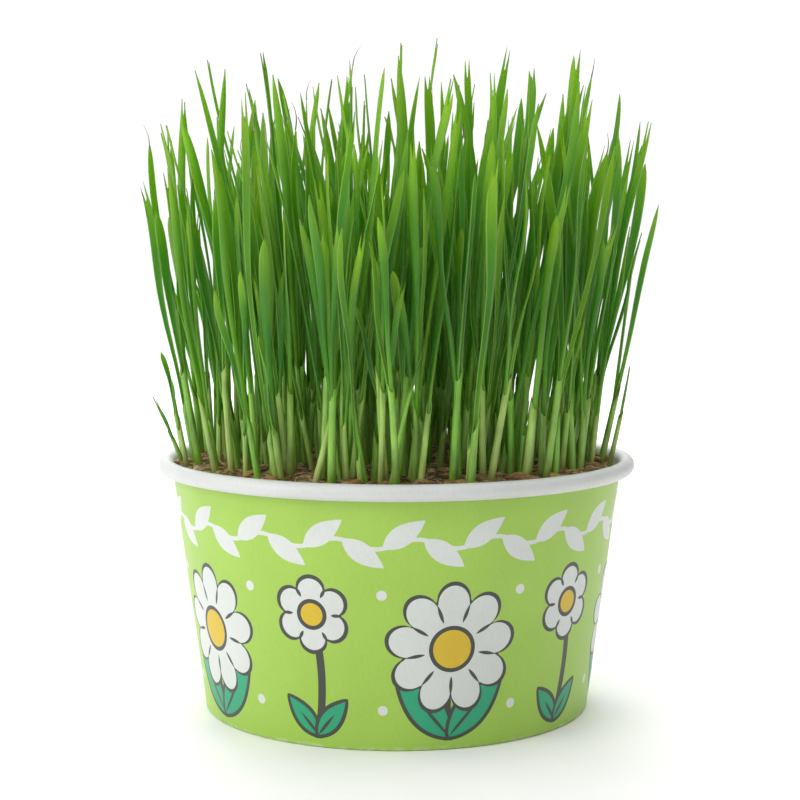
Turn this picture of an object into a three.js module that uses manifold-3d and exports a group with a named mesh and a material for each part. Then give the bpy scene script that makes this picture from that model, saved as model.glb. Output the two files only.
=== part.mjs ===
// A pot of cat grass: a paper cup with a rolled rim, moist coir, and tufts of sprouted grass standing in it.
// Millimetres, +Z up. The origin is the centre of the ring that the cup stands on, and -Y is the front.

import * as THREE from "three";
import { mergeVertices } from "three/addons/utils/BufferGeometryUtils.js";
import Module from "manifold-3d";

// Paper cup
const RIM_DIAMETER = 115;
const BASE_DIAMETER = 93;
const CUP_HEIGHT = 61;
const PAPER = 0.6;
const CURL_RADIUS = 1.9; // outside of the rolled rim
const CURL_END = THREE.MathUtils.degToRad(-115); // the curl stops here, just short of the wall
const CURL_POINTS = 7; // along each face of the curl
const HEM_HEIGHT = 7; // the wall's lower edge is folded in and up by this much
const SKIRT_PAPER = 0.5;
const SKIRT_END = 1; // height of the bottom disc's skirt above the table
const CUP_SEGMENTS = 40;
const GAP = 0.3; // between pieces that touch
const MERGE_TOLERANCE = 1e-4;

// Coir
const SOIL_TOP = 59.5;
const SOIL_EDGE_DROP = 2; // the surface falls away a little at the wall
const SOIL_EDGE_WIDTH = 3.5;
const SOIL_SEGMENTS = 40;

// Tufts stand in rings round the middle one, and each has its shoots round a knot of seeds and roots.
const TUFT_PITCH = 14.95;
const TUFT_RINGS = 3;
const RING_TUFTS = 6; // in the first ring, and so many more in each ring further out
const RING_TWIST = 0.3; // radians from one ring to the next
const SHOOTS = 5;
const SHOOT_RADIUS = [3.6, 4.7]; // of a shoot's root from the middle of its tuft
const SHOOT_JITTER = 0.16; // radians
const KNOT_RADIUS = 6.6;
const KNOT_SIDES = 8;
const KNOT_DEPTH = 5.5;
const KNOT_PROUD = 0.3;
const ROOT_DEPTH = 3; // of a shoot in its knot

// Shoots and leaves
const SEED = 20260;
const STEM_RADIUS = 0.8;
const SHEATH = [11, 25]; // height of the pale sheath above the coir
const RISE = 98.5; // of the tallest leaf above the coir
const EDGE_LOSS = 19; // the canopy is lower by this much round the edge
const EDGE_POWER = 3; // how late the canopy falls towards the edge
const SHORT_SHARE = 0.4; // how much shorter than that a first leaf may be
const OUT_LEAN = 0.12; // of the outermost shoots, away from the middle
const SPREAD = 0.085; // of the lean, each way
const BOW = 0.06; // further lean by the tip, each way
const HALF_WIDTH = [1.1, 1.7];
const NECK_WIDTH = 0.4; // of the full width, where the blade leaves the sheath
const NECK_LENGTH = 0.7; // of the blade, over which it widens
const TIP_POWER = 12; // how late the blade runs out to its tip
const TWIST = 0.5; // radians from root to tip, each way
const SECOND_SHARE = 0.7; // of the shoots that have a second leaf
const SECOND_RISE = [0.42, 0.8]; // of the first leaf's rise
const SECOND_ROOT = 0.72; // of the sheath's height, where the second leaf begins
const SECOND_LEAN = [0.09, 0.2]; // away from the first leaf
const SECOND_WIDTH = [0.75, 0.95]; // of the first leaf's width
const SECOND_FREE = 18; // above its root by this much, a second leaf is clear of the first
const CANOPY_RADIUS = 62.5; // no tip reaches further out
const LEAF_GAP = 0.4; // between leaves
const TRIES = 80;
const TEST_STEP = 3; // leaves are kept apart at every such step of height

// Leaves that stand out from the canopy: tip, and the place of the nearest root to grow it from.
const MARKED_LEAVES = [
  { tip: [-60.4, -6, 123], root: [-49, -6] },
  { tip: [-55.8, -4, 137], root: [-49, 2] },
  { tip: [-52.2, 4, 144], root: [-46, 8] },
  { tip: [-40.7, -10, 152.5], root: [-38, -12] },
  { tip: [9, 0, 158], root: [8, 2] },
  { tip: [41.4, -8, 155], root: [38, -12] },
  { tip: [52.5, 2, 147.6], root: [47, 4] },
  { tip: [57.7, -4, 140.7], root: [49, -4] },
  { tip: [61.8, -6, 121], root: [49, -10] },
  { tip: [30.3, -42, 109.5], root: [20, -44] },
  { tip: [15.2, -38, 136], root: [8.8, -46] },
  { tip: [-2.4, -30, 130], root: [-17, -42] },
  { tip: [-15.4, -46, 114.5], root: [-21, -44] },
  { tip: [0, 61.5, 128], root: [0, 49] },
  { tip: [-4, -61, 118], root: [-4, -49] },
];

// Leaf section: three sides, with the keel behind
const LEAF_SIDES = 3;
const SECTION_HALF = Math.sin((2 * Math.PI) / LEAF_SIDES); // half width of a section of radius 1
const KEEL = 0.45; // radius of the section through the leaf, which is then 1.5 times as thick
const STEM_STATIONS = 2; // the lowest sections of a first leaf, which are round
const SECOND_ROOT_RADIUS = 0.3; // of a second leaf's section where it starts inside the stem
const FIRST_STATIONS = [0.48, 0.76, 0.93, 1]; // of the rise, above the sheath
const SECOND_STATIONS = [0, 0.45, 0.76, 0.93, 1];

const FINISHES = {
  printed: { color: 0xa5cf5d, roughness: 0.6, metalness: 0 },
  paper: { color: 0xf0efec, roughness: 0.65, metalness: 0 },
  coir: { color: 0x5a3f26, roughness: 0.95, metalness: 0 },
  grass: { color: 0x4f9127, roughness: 0.55, metalness: 0 },
};

const wasm = await Module();
wasm.setup();

// A closed three.js geometry as a solid.
function toSolid(geometry) {
  const bare = geometry.clone().deleteAttribute("normal").deleteAttribute("uv");
  const merged = mergeVertices(bare, MERGE_TOLERANCE);
  return new wasm.Manifold(
    new wasm.Mesh({
      numProp: 3,
      vertProperties: merged.attributes.position.array,
      triVerts: new Uint32Array(merged.index.array),
    }),
  );
}

// A solid as a three.js geometry.
function toGeometry(solid) {
  const mesh = solid.getMesh();
  const geometry = new THREE.BufferGeometry();
  geometry.setAttribute("position", new THREE.BufferAttribute(mesh.vertProperties, 3));
  geometry.setIndex(new THREE.BufferAttribute(mesh.triVerts, 1));
  geometry.computeVertexNormals();
  return geometry;
}

function makeMesh(name, geometry, finish) {
  const mesh = new THREE.Mesh(geometry, new THREE.MeshStandardMaterial(finish));
  mesh.name = name;
  return mesh;
}

// A profile of [radius, height] points turned round the Z axis.
function turned(profile, segments) {
  const points = profile.map(([radius, height]) => new THREE.Vector2(radius, height));
  return new THREE.LatheGeometry(points, segments).rotateX(Math.PI / 2);
}

// Seeded draws between two limits, the same on every run.
function makeDraw(seed) {
  const MODULUS = 2147483647;
  const FACTOR = 48271;
  let state = seed;
  return (low, high) => {
    state = (state * FACTOR) % MODULUS;
    return low + ((high - low) * state) / MODULUS;
  };
}

// Cup wall

const curlHeight = CUP_HEIGHT - CURL_RADIUS;
const curlCentre = RIM_DIAMETER / 2 - CURL_RADIUS;
const curlInside = CURL_RADIUS - PAPER;
const wallSlope = (curlCentre - curlInside - BASE_DIAMETER / 2) / curlHeight;
const wallOuter = (height) => BASE_DIAMETER / 2 + wallSlope * height;
const wallInner = (height) => wallOuter(height) - PAPER;
const hemOuter = (height) => wallInner(height) - 2 * GAP - SKIRT_PAPER;
const hemInner = (height) => hemOuter(height) - PAPER;

// Points along one face of the curl, from the wall over the top to its end.
function curlFace(radius) {
  return Array.from({ length: CURL_POINTS }, (_, i) => {
    const angle = Math.PI + ((CURL_END - Math.PI) * i) / (CURL_POINTS - 1);
    return [curlCentre + radius * Math.cos(angle), curlHeight + radius * Math.sin(angle)];
  });
}

// One strip of paper: rolled out and under at the rim, folded in and up at the foot.
function cupWall() {
  const profile = [
    [wallOuter(0), 0],
    ...curlFace(curlInside),
    ...curlFace(CURL_RADIUS).reverse(),
    [wallInner(PAPER), PAPER],
    [hemOuter(PAPER), PAPER],
    [hemOuter(HEM_HEIGHT), HEM_HEIGHT],
    [hemInner(HEM_HEIGHT), HEM_HEIGHT],
    [hemInner(0), 0],
    [wallOuter(0), 0],
  ];
  return makeMesh("cup_wall", turned(profile, CUP_SEGMENTS), FINISHES.printed);
}

// Cup bottom: a disc whose skirt hangs down between the wall and its hem.
const discUnder = HEM_HEIGHT + GAP;
const discTop = discUnder + PAPER;
const skirtOuter = (height) => wallInner(height) - GAP;
const skirtInner = (height) => skirtOuter(height) - SKIRT_PAPER;

function cupBottom() {
  const profile = [
    [0, discUnder],
    [skirtInner(discUnder), discUnder],
    [skirtInner(SKIRT_END), SKIRT_END],
    [skirtOuter(SKIRT_END), SKIRT_END],
    [skirtOuter(discTop), discTop],
    [0, discTop],
  ];
  return makeMesh("cup_bottom", turned(profile, CUP_SEGMENTS), FINISHES.paper);
}

// Growth rule: where the tufts stand, and how their leaves rise

// The middles of the tufts, ring by ring.
function tuftCentres() {
  const centres = [];
  for (let ring = 0; ring <= TUFT_RINGS; ring++) {
    const count = ring ? RING_TUFTS * ring : 1;
    for (let i = 0; i < count; i++) {
      const angle = (2 * Math.PI * i) / count + RING_TWIST * ring;
      centres.push([ring * TUFT_PITCH * Math.cos(angle), ring * TUFT_PITCH * Math.sin(angle)]);
    }
  }
  return centres;
}

// The roots of all shoots, each with the number of its tuft.
function shootRoots(centres, draw) {
  const roots = [];
  centres.forEach(([x, y], tuft) => {
    const turn = draw(0, 2 * Math.PI);
    for (let i = 0; i < SHOOTS; i++) {
      const angle = turn + (2 * Math.PI * i) / SHOOTS + draw(-SHOOT_JITTER, SHOOT_JITTER);
      const radius = draw(...SHOOT_RADIUS);
      const root = [x + radius * Math.cos(angle), y + radius * Math.sin(angle)];
      roots.push({ tuft, root, sheath: draw(...SHEATH), leaf: null });
    }
  });
  return roots;
}

// A leaf's middle line: it leans from its root and bows a little more towards its tip.
function leafPoint(leaf, share) {
  const sway = (axis) => leaf.rise * (leaf.lean[axis] * share + leaf.bow[axis] * share ** 2);
  return [leaf.root[0] + sway(0), leaf.root[1] + sway(1), SOIL_TOP + leaf.start + leaf.rise * share];
}

// Half its width: the round stem up to the sheath's mouth, then a blade that widens and runs out to a point.
function leafHalfWidth(leaf, share) {
  const mouth = leaf.sheath / leaf.rise;
  if (share <= mouth) return STEM_RADIUS;
  const blade = (share - mouth) / (1 - mouth);
  const opening = THREE.MathUtils.smoothstep(blade, 0, NECK_LENGTH);
  return leaf.half * THREE.MathUtils.lerp(NECK_WIDTH, 1, opening) * (1 - blade ** TIP_POWER);
}

// Where the leaf is at every test height, or null below and above it.
function leafReach(leaf) {
  const reach = [];
  for (let height = 0; height <= RISE; height += TEST_STEP) {
    const share = (height - leaf.start) / leaf.rise;
    const inside = share >= 0 && share <= 1;
    reach.push(inside ? [...leafPoint(leaf, share), leafHalfWidth(leaf, share)] : null);
  }
  return reach;
}

// Whether a leaf stays inside the canopy and clear of the leaves grown before it, but for its own root.
function isClear(leaf, grown) {
  const [tipX, tipY] = leafPoint(leaf, 1);
  if (Math.hypot(tipX, tipY) > CANOPY_RADIUS) return false;
  return grown.every((other) => {
    const joined = other.shoot === leaf.shoot ? leaf.start + SECOND_FREE : 0;
    return leaf.reach.every((point, i) => {
      const near = other.reach[i];
      if (!point || !near || i * TEST_STEP < joined) return true;
      const apart = Math.hypot(point[0] - near[0], point[1] - near[1]);
      return apart >= point[3] + near[3] + LEAF_GAP;
    });
  });
}

// How tall a leaf may be that is rooted this far from the middle.
function canopyRise(root) {
  const share = Math.hypot(...root) / (TUFT_RINGS * TUFT_PITCH);
  return RISE - EDGE_LOSS * Math.min(share, 1) ** EDGE_POWER;
}

function drawBlade(draw) {
  return {
    bow: [draw(-BOW, BOW), draw(-BOW, BOW)],
    half: draw(...HALF_WIDTH),
    turn: draw(0, Math.PI),
    twist: draw(-TWIST, TWIST),
  };
}

// A leaf that is aimed at a tip.
function markedLeaf(shoot, tip, draw) {
  const blade = drawBlade(draw);
  const rise = tip[2] - SOIL_TOP;
  const lean = [0, 1].map((axis) => (tip[axis] - shoot.root[axis]) / rise - blade.bow[axis]);
  return { ...blade, shoot, root: shoot.root, start: 0, sheath: shoot.sheath, rise, lean };
}

// A shoot's first leaf, leaning outwards the more the nearer it stands to the wall.
function firstLeaf(shoot, draw) {
  const out = shoot.root.map((place) => (OUT_LEAN * place) / (TUFT_RINGS * TUFT_PITCH));
  const lean = out.map((share) => share + draw(-SPREAD, SPREAD));
  const rise = canopyRise(shoot.root) * (1 - draw(0, SHORT_SHARE));
  return { ...drawBlade(draw), shoot, root: shoot.root, start: 0, sheath: shoot.sheath, rise, lean };
}

// A second leaf, which comes out of the first one's sheath and leans another way.
function secondLeaf(shoot, draw) {
  const first = shoot.leaf;
  const start = SECOND_ROOT * shoot.sheath;
  const [x, y] = leafPoint(first, start / first.rise);
  const side = draw(0, 2 * Math.PI);
  const apart = draw(...SECOND_LEAN);
  const lean = [first.lean[0] + apart * Math.cos(side), first.lean[1] + apart * Math.sin(side)];
  const rise = first.rise * draw(...SECOND_RISE);
  const blade = drawBlade(draw);
  blade.half = first.half * draw(...SECOND_WIDTH);
  return { ...blade, shoot, root: [x, y], start, sheath: 0, rise, lean };
}

// Draws leaves until one is clear of those grown before it.
function growClear(makeLeaf, shoot, draw, grown) {
  for (let i = 0; i < TRIES; i++) {
    const leaf = makeLeaf(shoot, draw);
    leaf.reach = leafReach(leaf);
    if (isClear(leaf, grown)) {
      grown.push(leaf);
      return leaf;
    }
  }
  return null;
}

function growGrass(centres) {
  const draw = makeDraw(SEED);
  const shoots = shootRoots(centres, draw);
  const grown = [];
  MARKED_LEAVES.forEach(({ tip, root }) => {
    const free = shoots.filter((shoot) => !shoot.leaf);
    const away = (shoot) => Math.hypot(shoot.root[0] - root[0], shoot.root[1] - root[1]);
    const shoot = free.reduce((best, next) => (away(next) < away(best) ? next : best));
    shoot.leaf = markedLeaf(shoot, tip, draw);
    shoot.leaf.reach = leafReach(shoot.leaf);
    grown.push(shoot.leaf);
  });
  shoots.forEach((shoot) => {
    shoot.leaf = shoot.leaf ?? growClear(firstLeaf, shoot, draw, grown);
  });
  shoots.forEach((shoot) => {
    if (shoot.leaf && draw(0, 1) < SECOND_SHARE) growClear(secondLeaf, shoot, draw, grown);
  });
  return grown;
}

// Solids of the grass

// The section's radius across and through the leaf: round in the stem, flat above it.
function leafSection(leaf, station, share) {
  const isFirst = leaf.start === 0;
  if (!isFirst && station === 0) return [SECOND_ROOT_RADIUS, SECOND_ROOT_RADIUS];
  const half = leafHalfWidth(leaf, share) / SECTION_HALF;
  const isStem = isFirst && station < STEM_STATIONS;
  return [half, isStem ? half : KEEL];
}

// A leaf as a three-sided cone drawn out along its middle line.
function leafSolid(leaf) {
  const stem = [-ROOT_DEPTH / leaf.rise, leaf.sheath / leaf.rise];
  const stations = leaf.start === 0 ? [...stem, ...FIRST_STATIONS] : SECOND_STATIONS;
  const steps = stations.length - 1;
  const geometry = new THREE.ConeGeometry(1, 1, LEAF_SIDES, steps);
  const places = geometry.attributes.position;
  for (let i = 0; i < places.count; i++) {
    const station = Math.round((places.getY(i) + 0.5) * steps);
    const share = stations[station];
    const radius = 1 - station / steps;
    const across = radius ? places.getX(i) / radius : 0;
    const through = radius ? places.getZ(i) / radius : 0;
    const [half, thick] = leafSection(leaf, station, share);
    const turn = leaf.turn + leaf.twist * Math.max(share, 0);
    const [x, y, z] = leafPoint(leaf, share);
    places.setXYZ(
      i,
      x + across * half * Math.cos(turn) + through * thick * Math.sin(turn),
      y + across * half * Math.sin(turn) - through * thick * Math.cos(turn),
      z,
    );
  }
  return toSolid(geometry);
}

function knotSolid([x, y], radius, bottom, top) {
  const geometry = new THREE.CylinderGeometry(radius, radius, top - bottom, KNOT_SIDES);
  geometry.rotateX(Math.PI / 2).translate(x, y, (top + bottom) / 2);
  return toSolid(geometry);
}

// A tuft: its shoots and their leaves, grown together in a knot of seeds and roots.
function tuft(number, centre, leaves) {
  const knot = knotSolid(centre, KNOT_RADIUS, SOIL_TOP - KNOT_DEPTH, SOIL_TOP + KNOT_PROUD);
  const solid = wasm.Manifold.union([knot, ...leaves.map(leafSolid)]);
  const name = `grass_tuft_${String(number + 1).padStart(2, "0")}`;
  return makeMesh(name, toGeometry(solid), FINISHES.grass);
}

// Coir that fills the cup, with a plain hole for each tuft's knot.
function soil(centres) {
  const bottom = discTop + GAP;
  const edge = SOIL_TOP - SOIL_EDGE_DROP;
  const radius = (height) => wallInner(height) - GAP;
  const profile = [
    [0, bottom],
    [radius(bottom), bottom],
    [radius(edge), edge],
    [radius(SOIL_TOP) - SOIL_EDGE_WIDTH, SOIL_TOP],
    [0, SOIL_TOP],
  ];
  const floor = SOIL_TOP - KNOT_DEPTH - GAP;
  const holes = centres.map((centre) => knotSolid(centre, KNOT_RADIUS + GAP, floor, CUP_HEIGHT));
  const solid = toSolid(turned(profile, SOIL_SEGMENTS)).subtract(wasm.Manifold.union(holes));
  return makeMesh("soil", toGeometry(solid), FINISHES.coir);
}

const potOfGrass = new THREE.Group();
const centres = tuftCentres();
const leaves = growGrass(centres);
potOfGrass.add(cupWall(), cupBottom(), soil(centres));
centres.forEach((centre, number) => {
  const own = leaves.filter((leaf) => leaf.shoot.tuft === number);
  potOfGrass.add(tuft(number, centre, own));
});

export default potOfGrass;
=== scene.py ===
"""The looks of a pot of cat grass: a printed paper cup, a bed of coir and tufts of sprouted grass.

Sizes are in millimetres in the frame of the solids, with +Z up and -Y to the front. They become metres
when a mesh is made.
"""

import logging
import math
from collections.abc import Callable, Iterable, Sequence
from dataclasses import dataclass, field
from enum import Enum

import bmesh
import bpy
import numpy as np
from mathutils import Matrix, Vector, noise
from mathutils.geometry import delaunay_2d_cdt


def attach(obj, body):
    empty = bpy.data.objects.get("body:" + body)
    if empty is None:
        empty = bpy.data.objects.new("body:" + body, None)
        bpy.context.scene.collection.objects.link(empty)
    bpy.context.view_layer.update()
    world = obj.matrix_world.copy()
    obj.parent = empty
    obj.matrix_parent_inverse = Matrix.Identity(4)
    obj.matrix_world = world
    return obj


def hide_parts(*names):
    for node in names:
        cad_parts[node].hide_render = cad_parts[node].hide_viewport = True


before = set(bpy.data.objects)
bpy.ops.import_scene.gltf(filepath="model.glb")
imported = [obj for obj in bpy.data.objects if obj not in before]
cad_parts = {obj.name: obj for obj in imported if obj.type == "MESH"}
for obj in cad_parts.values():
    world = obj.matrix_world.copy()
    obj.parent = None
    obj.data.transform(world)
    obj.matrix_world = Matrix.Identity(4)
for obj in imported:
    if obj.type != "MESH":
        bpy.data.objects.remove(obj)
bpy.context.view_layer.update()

LOG = logging.getLogger("pot_of_grass")
BODY = "root"
MM = 0.001
TURN = 2.0 * math.pi

Colour = tuple[float, float, float, float]
Point = tuple[float, float]
Span = tuple[float, float]
Stops = Sequence[tuple[float, str]]
Marks = tuple[tuple[tuple[float, float, float], Point], ...]
Socket = bpy.types.NodeSocket
CLOUD_SPAN: Span = (0.3, 0.7)


def linear(code: str) -> Colour:
    """Turns a colour as it looks on a screen into the linear light that shaders use.

    Args:
        code: Six hex digits, red first.

    Returns:
        Linear red, green and blue, and an alpha of 1.
    """
    shares = [int(code[i:i + 2], 16) / 255.0 for i in (0, 2, 4)]
    red, green, blue = (s / 12.92 if s <= 0.04045 else ((s + 0.055) / 1.055) ** 2.4 for s in shares)
    return red, green, blue, 1.0


def smoothstep(value: np.ndarray, low: float, high: float) -> np.ndarray:
    """Rises smoothly from 0 at low to 1 at high."""
    share = np.clip((value - low) / (high - low), 0.0, 1.0)
    return share * share * (3.0 - 2.0 * share)


def blend(low: float, high: float, share: np.ndarray) -> np.ndarray:
    """Goes from low at share 0 to high at share 1."""
    return low + (high - low) * share


def ring(count: int) -> np.ndarray:
    """The angles of so many even steps round a full turn."""
    return TURN * np.arange(count) / count


def level_ring(radius: np.ndarray | float, height: float, angles: np.ndarray) -> np.ndarray:
    """The points of a level ring round the Z axis, one in each row."""
    across = radius * np.cos(angles)
    return np.column_stack([across, radius * np.sin(angles), np.full(len(angles), height)])


def wrap_faces(steps: int, sides: int) -> list[list[int]]:
    """Joins rings of points that follow each other.

    Args:
        steps: How many rings there are.
        sides: How many points each ring has.

    Returns:
        The corners of each face, numbered ring by ring.
    """
    low = np.arange(steps - 1)[:, None] * sides
    here = np.arange(sides)[None, :]
    after = (here + 1) % sides
    quads = np.stack([low + here, low + after, low + sides + after, low + sides + here], axis=-1)
    return quads.reshape(-1, 4).tolist()


class Draw:
    """Seeded draws between two limits, by the rule that the solids follow too."""

    MODULUS = 2147483647
    FACTOR = 48271

    def __init__(self, seed: int) -> None:
        """Starts the draws from a seed."""
        self.state = seed

    def __call__(self, low: float, high: float) -> float:
        """Draws the next number between the two limits."""
        self.state = (self.state * self.FACTOR) % self.MODULUS
        return low + ((high - low) * self.state) / self.MODULUS


class MeshDraft:
    """Points, faces and values of a piece, gathered in millimetres before the mesh is made."""

    def __init__(self) -> None:
        """Starts with nothing in it."""
        self.places: list[np.ndarray] = []
        self.faces: list[list[int]] = []
        self.materials: list[int] = []
        self.values: dict[str, list[np.ndarray]] = {}
        self.count = 0

    def add(
        self,
        places: np.ndarray,
        faces: Iterable[Sequence[int]],
        material: int = 0,
        **values: np.ndarray,
    ) -> None:
        """Adds points and the faces between them.

        Args:
            places: The points, one in each row.
            faces: Each face's corners, as rows of places.
            material: Which of the piece's materials the faces wear.
            **values: Numbers for the shader, one for each point.
        """
        new = [[self.count + corner for corner in face] for face in faces]
        self.faces += new
        self.materials += [material] * len(new)
        for name, numbers in values.items():
            kept = self.values.setdefault(name, [np.zeros(self.count)] if self.count else [])
            kept.append(np.broadcast_to(np.asarray(numbers, float), len(places)))
        for name, kept in self.values.items():
            if name not in values:
                kept.append(np.zeros(len(places)))
        self.places.append(np.asarray(places, float))
        self.count += len(places)

    def add_tube(self, rings: np.ndarray, material: int = 0, **values: np.ndarray) -> None:
        """Adds a closed tube through rings of points that run right-handed round the way along it.

        Args:
            rings: The points, by ring and by place in the ring. Each ring has an even number of them.
            material: Which of the piece's materials the tube wears.
            **values: Numbers for the shader, in the shape of the rings or one for each ring.
        """
        steps, sides = rings.shape[:2]
        faces = wrap_faces(steps, sides)
        for i in range(sides // 2 - 1):
            strip = (i, i + 1, sides - 2 - i, sides - 1 - i)
            faces.append(strip[::-1])
            faces.append([(steps - 1) * sides + corner for corner in strip])
        flat = {}
        for name, numbers in values.items():
            shaped = np.asarray(numbers, float)
            shaped = shaped[:, None] if shaped.ndim == 1 else shaped
            flat[name] = np.broadcast_to(shaped, (steps, sides)).reshape(-1)
        self.add(rings.reshape(-1, 3), faces, material, **flat)

    def add_turned(self, profile: Sequence[Point], segments: int, material: int = 0) -> None:
        """Adds a profile turned round the Z axis, open at the axis and where it ends.

        Args:
            profile: Radius and height of each point, with the outside on the right of the way along it.
            segments: How many steps make the full turn.
            material: Which of the piece's materials it wears.
        """
        rows = [level_ring(radius, height, ring(segments)) for radius, height in profile]
        self.add(np.concatenate(rows), wrap_faces(len(profile), segments), material)

    def make(self, name: str, materials: Sequence[bpy.types.Material], weld: float = 0.0) -> bpy.types.Object:
        """Makes the object, in metres and smoothly shaded.

        Args:
            name: The piece's name.
            materials: What its faces wear.
            weld: Points closer than this many millimetres become one.

        Returns:
            The new object, in the scene.
        """
        mesh = bpy.data.meshes.new(name)
        mesh.from_pydata((np.concatenate(self.places) * MM).tolist(), [], self.faces)
        for material in materials:
            mesh.materials.append(material)
        mesh.polygons.foreach_set("material_index", self.materials)
        mesh.polygons.foreach_set("use_smooth", [True] * len(self.faces))
        for label, numbers in self.values.items():
            kept = mesh.attributes.new(label, "FLOAT", "POINT")
            kept.data.foreach_set("value", np.concatenate(numbers).astype(np.float32))
        if weld:
            shape = bmesh.new()
            shape.from_mesh(mesh)
            bmesh.ops.remove_doubles(shape, verts=shape.verts, dist=weld * MM)
            shape.to_mesh(mesh)
            shape.free()
        mesh.update()
        piece = bpy.data.objects.new(name, mesh)
        bpy.context.scene.collection.objects.link(piece)
        return piece


def enter(piece: bpy.types.Object, slot: str, *nodes: str) -> None:
    """Puts a piece on the body in the place of the solids that it stands for, and logs its material slot.

    Args:
        piece: The new piece.
        slot: The record's material slot, which is only logged.
        *nodes: The solids that it replaces.
    """
    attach(piece, BODY)
    if nodes:
        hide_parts(*nodes)
    LOG.info("%s: %d faces, slot %s, replaces %s", piece.name, len(piece.data.polygons), slot, list(nodes))


class NodeSketch:
    """A material's node tree, with short calls for the nodes that the finishes share."""

    def __init__(self, name: str) -> None:
        """Starts a material with an empty tree."""
        self.material = bpy.data.materials.new(name)
        self.material.use_nodes = True
        self.tree = self.material.node_tree
        self.tree.nodes.clear()
        self.place = self.add("ShaderNodeTexCoord").outputs["Object"]

    def add(self, kind: str) -> bpy.types.Node:
        """Adds a node of that kind."""
        return self.tree.nodes.new(kind)

    def feed(self, socket: Socket, value: Socket | float | Colour) -> None:
        """Links a socket to another one, or sets it.

        Args:
            socket: The socket that takes the value.
            value: The socket to link it to, or a number or a colour.
        """
        if isinstance(value, Socket):
            self.tree.links.new(value, socket)
        else:
            socket.default_value = value

    def number(self, attribute: str) -> Socket:
        """Reads a number that the mesh holds at each point.

        Args:
            attribute: The number's name.

        Returns:
            The number.
        """
        node = self.add("ShaderNodeAttribute")
        node.attribute_name = attribute
        return node.outputs["Fac"]

    def stretched(self, scale: tuple[float, float, float]) -> Socket:
        """Scales the place on the object along each axis.

        Args:
            scale: The scale along X, Y and Z.

        Returns:
            The scaled place.
        """
        node = self.add("ShaderNodeMapping")
        self.feed(node.inputs["Vector"], self.place)
        node.inputs["Scale"].default_value = scale
        return node.outputs["Vector"]

    def noise(self, size: float, detail: float, place: Socket | None = None) -> Socket:
        """Makes a cloudy pattern.

        Args:
            size: How large its clouds are, in millimetres.
            detail: How many finer patterns are laid over it.
            place: The coordinates to use in place of the object's own.

        Returns:
            The pattern, about 0.5 on the whole.
        """
        node = self.add("ShaderNodeTexNoise")
        self.feed(node.inputs["Vector"], place or self.place)
        node.inputs["Scale"].default_value = 1.0 / (size * MM)
        node.inputs["Detail"].default_value = detail
        return node.outputs["Fac"]

    def math(self, operation: str, first: Socket, second: float | Socket = 0.0) -> Socket:
        """Works out one sum.

        Args:
            operation: Blender's name for the sum.
            first: The first number.
            second: The second number, which some sums leave out.

        Returns:
            The result.
        """
        node = self.add("ShaderNodeMath")
        node.operation = operation
        self.feed(node.inputs[0], first)
        self.feed(node.inputs[1], second)
        return node.outputs[0]

    def ramp(self, share: Socket, stops: Stops) -> Socket:
        """Turns a number into a colour.

        Args:
            share: The number, from 0 to 1.
            stops: Places along the ramp, and the hex colour at each.

        Returns:
            The colour.
        """
        node = self.add("ShaderNodeValToRGB")
        self.feed(node.inputs["Fac"], share)
        elements = node.color_ramp.elements
        while len(elements) < len(stops):
            elements.new(1.0)
        for element, (place, code) in zip(elements, stops):
            element.position = place
            element.color = linear(code)
        return node.outputs["Color"]

    def spread(self, share: Socket, source: Span, target: Span) -> Socket:
        """Moves a number from one range to another, and keeps it inside.

        Args:
            share: The number.
            source: The range that it comes from.
            target: The range that it goes to.

        Returns:
            The moved number.
        """
        node = self.add("ShaderNodeMapRange")
        self.feed(node.inputs["Value"], share)
        labels = ("From Min", "From Max", "To Min", "To Max")
        for label, limit in zip(labels, (*source, *target)):
            node.inputs[label].default_value = limit
        return node.outputs["Result"]

    def mix(
        self,
        share: Socket | float,
        first: Socket | Colour,
        second: Socket | Colour,
        kind: str = "MIX",
    ) -> Socket:
        """Mixes two colours.

        Args:
            share: How much of the second colour there is.
            first: The colour below.
            second: The colour on top.
            kind: Blender's name for the way of mixing.

        Returns:
            The mixed colour.
        """
        node = self.add("ShaderNodeMix")
        node.data_type = "RGBA"
        node.blend_type = kind
        self.feed(node.inputs["Factor"], share)
        colours = [socket for socket in node.inputs if socket.type == "RGBA"]
        self.feed(colours[0], first)
        self.feed(colours[1], second)
        return next(socket for socket in node.outputs if socket.type == "RGBA")

    def toned(self, colour: Socket | Colour, pattern: Socket, tones: Stops) -> Socket:
        """Darkens a colour by a pattern.

        Args:
            colour: The colour.
            pattern: The pattern, from 0 to 1.
            tones: Places along the pattern, and the grey at each.

        Returns:
            The darkened colour.
        """
        return self.mix(1.0, colour, self.ramp(pattern, tones), "MULTIPLY")

    def bump(self, height: Socket, depth: float, strength: float) -> Socket:
        """Turns a height pattern into a normal.

        Args:
            height: The pattern.
            depth: How deep it is, in millimetres.
            strength: How much of it shows.

        Returns:
            The normal.
        """
        node = self.add("ShaderNodeBump")
        self.feed(node.inputs["Height"], height)
        node.inputs["Distance"].default_value = depth * MM
        node.inputs["Strength"].default_value = strength
        return node.outputs["Normal"]

    def surface(
        self,
        colour: Socket,
        roughness: Socket | float,
        normal: Socket,
        specular: float = 0.5,
        sheen: float = 0.0,
    ) -> bpy.types.Node:
        """Adds the main shader.

        Args:
            colour: The surface's colour.
            roughness: How dull it is.
            normal: Its bump.
            specular: How strongly it mirrors.
            sheen: How much of a fibrous edge light it has.

        Returns:
            The shader's node.
        """
        node = self.add("ShaderNodeBsdfPrincipled")
        self.feed(node.inputs["Base Color"], colour)
        self.feed(node.inputs["Roughness"], roughness)
        self.feed(node.inputs["Normal"], normal)
        node.inputs["Specular IOR Level"].default_value = specular
        node.inputs["Sheen Weight"].default_value = sheen
        return node

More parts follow.
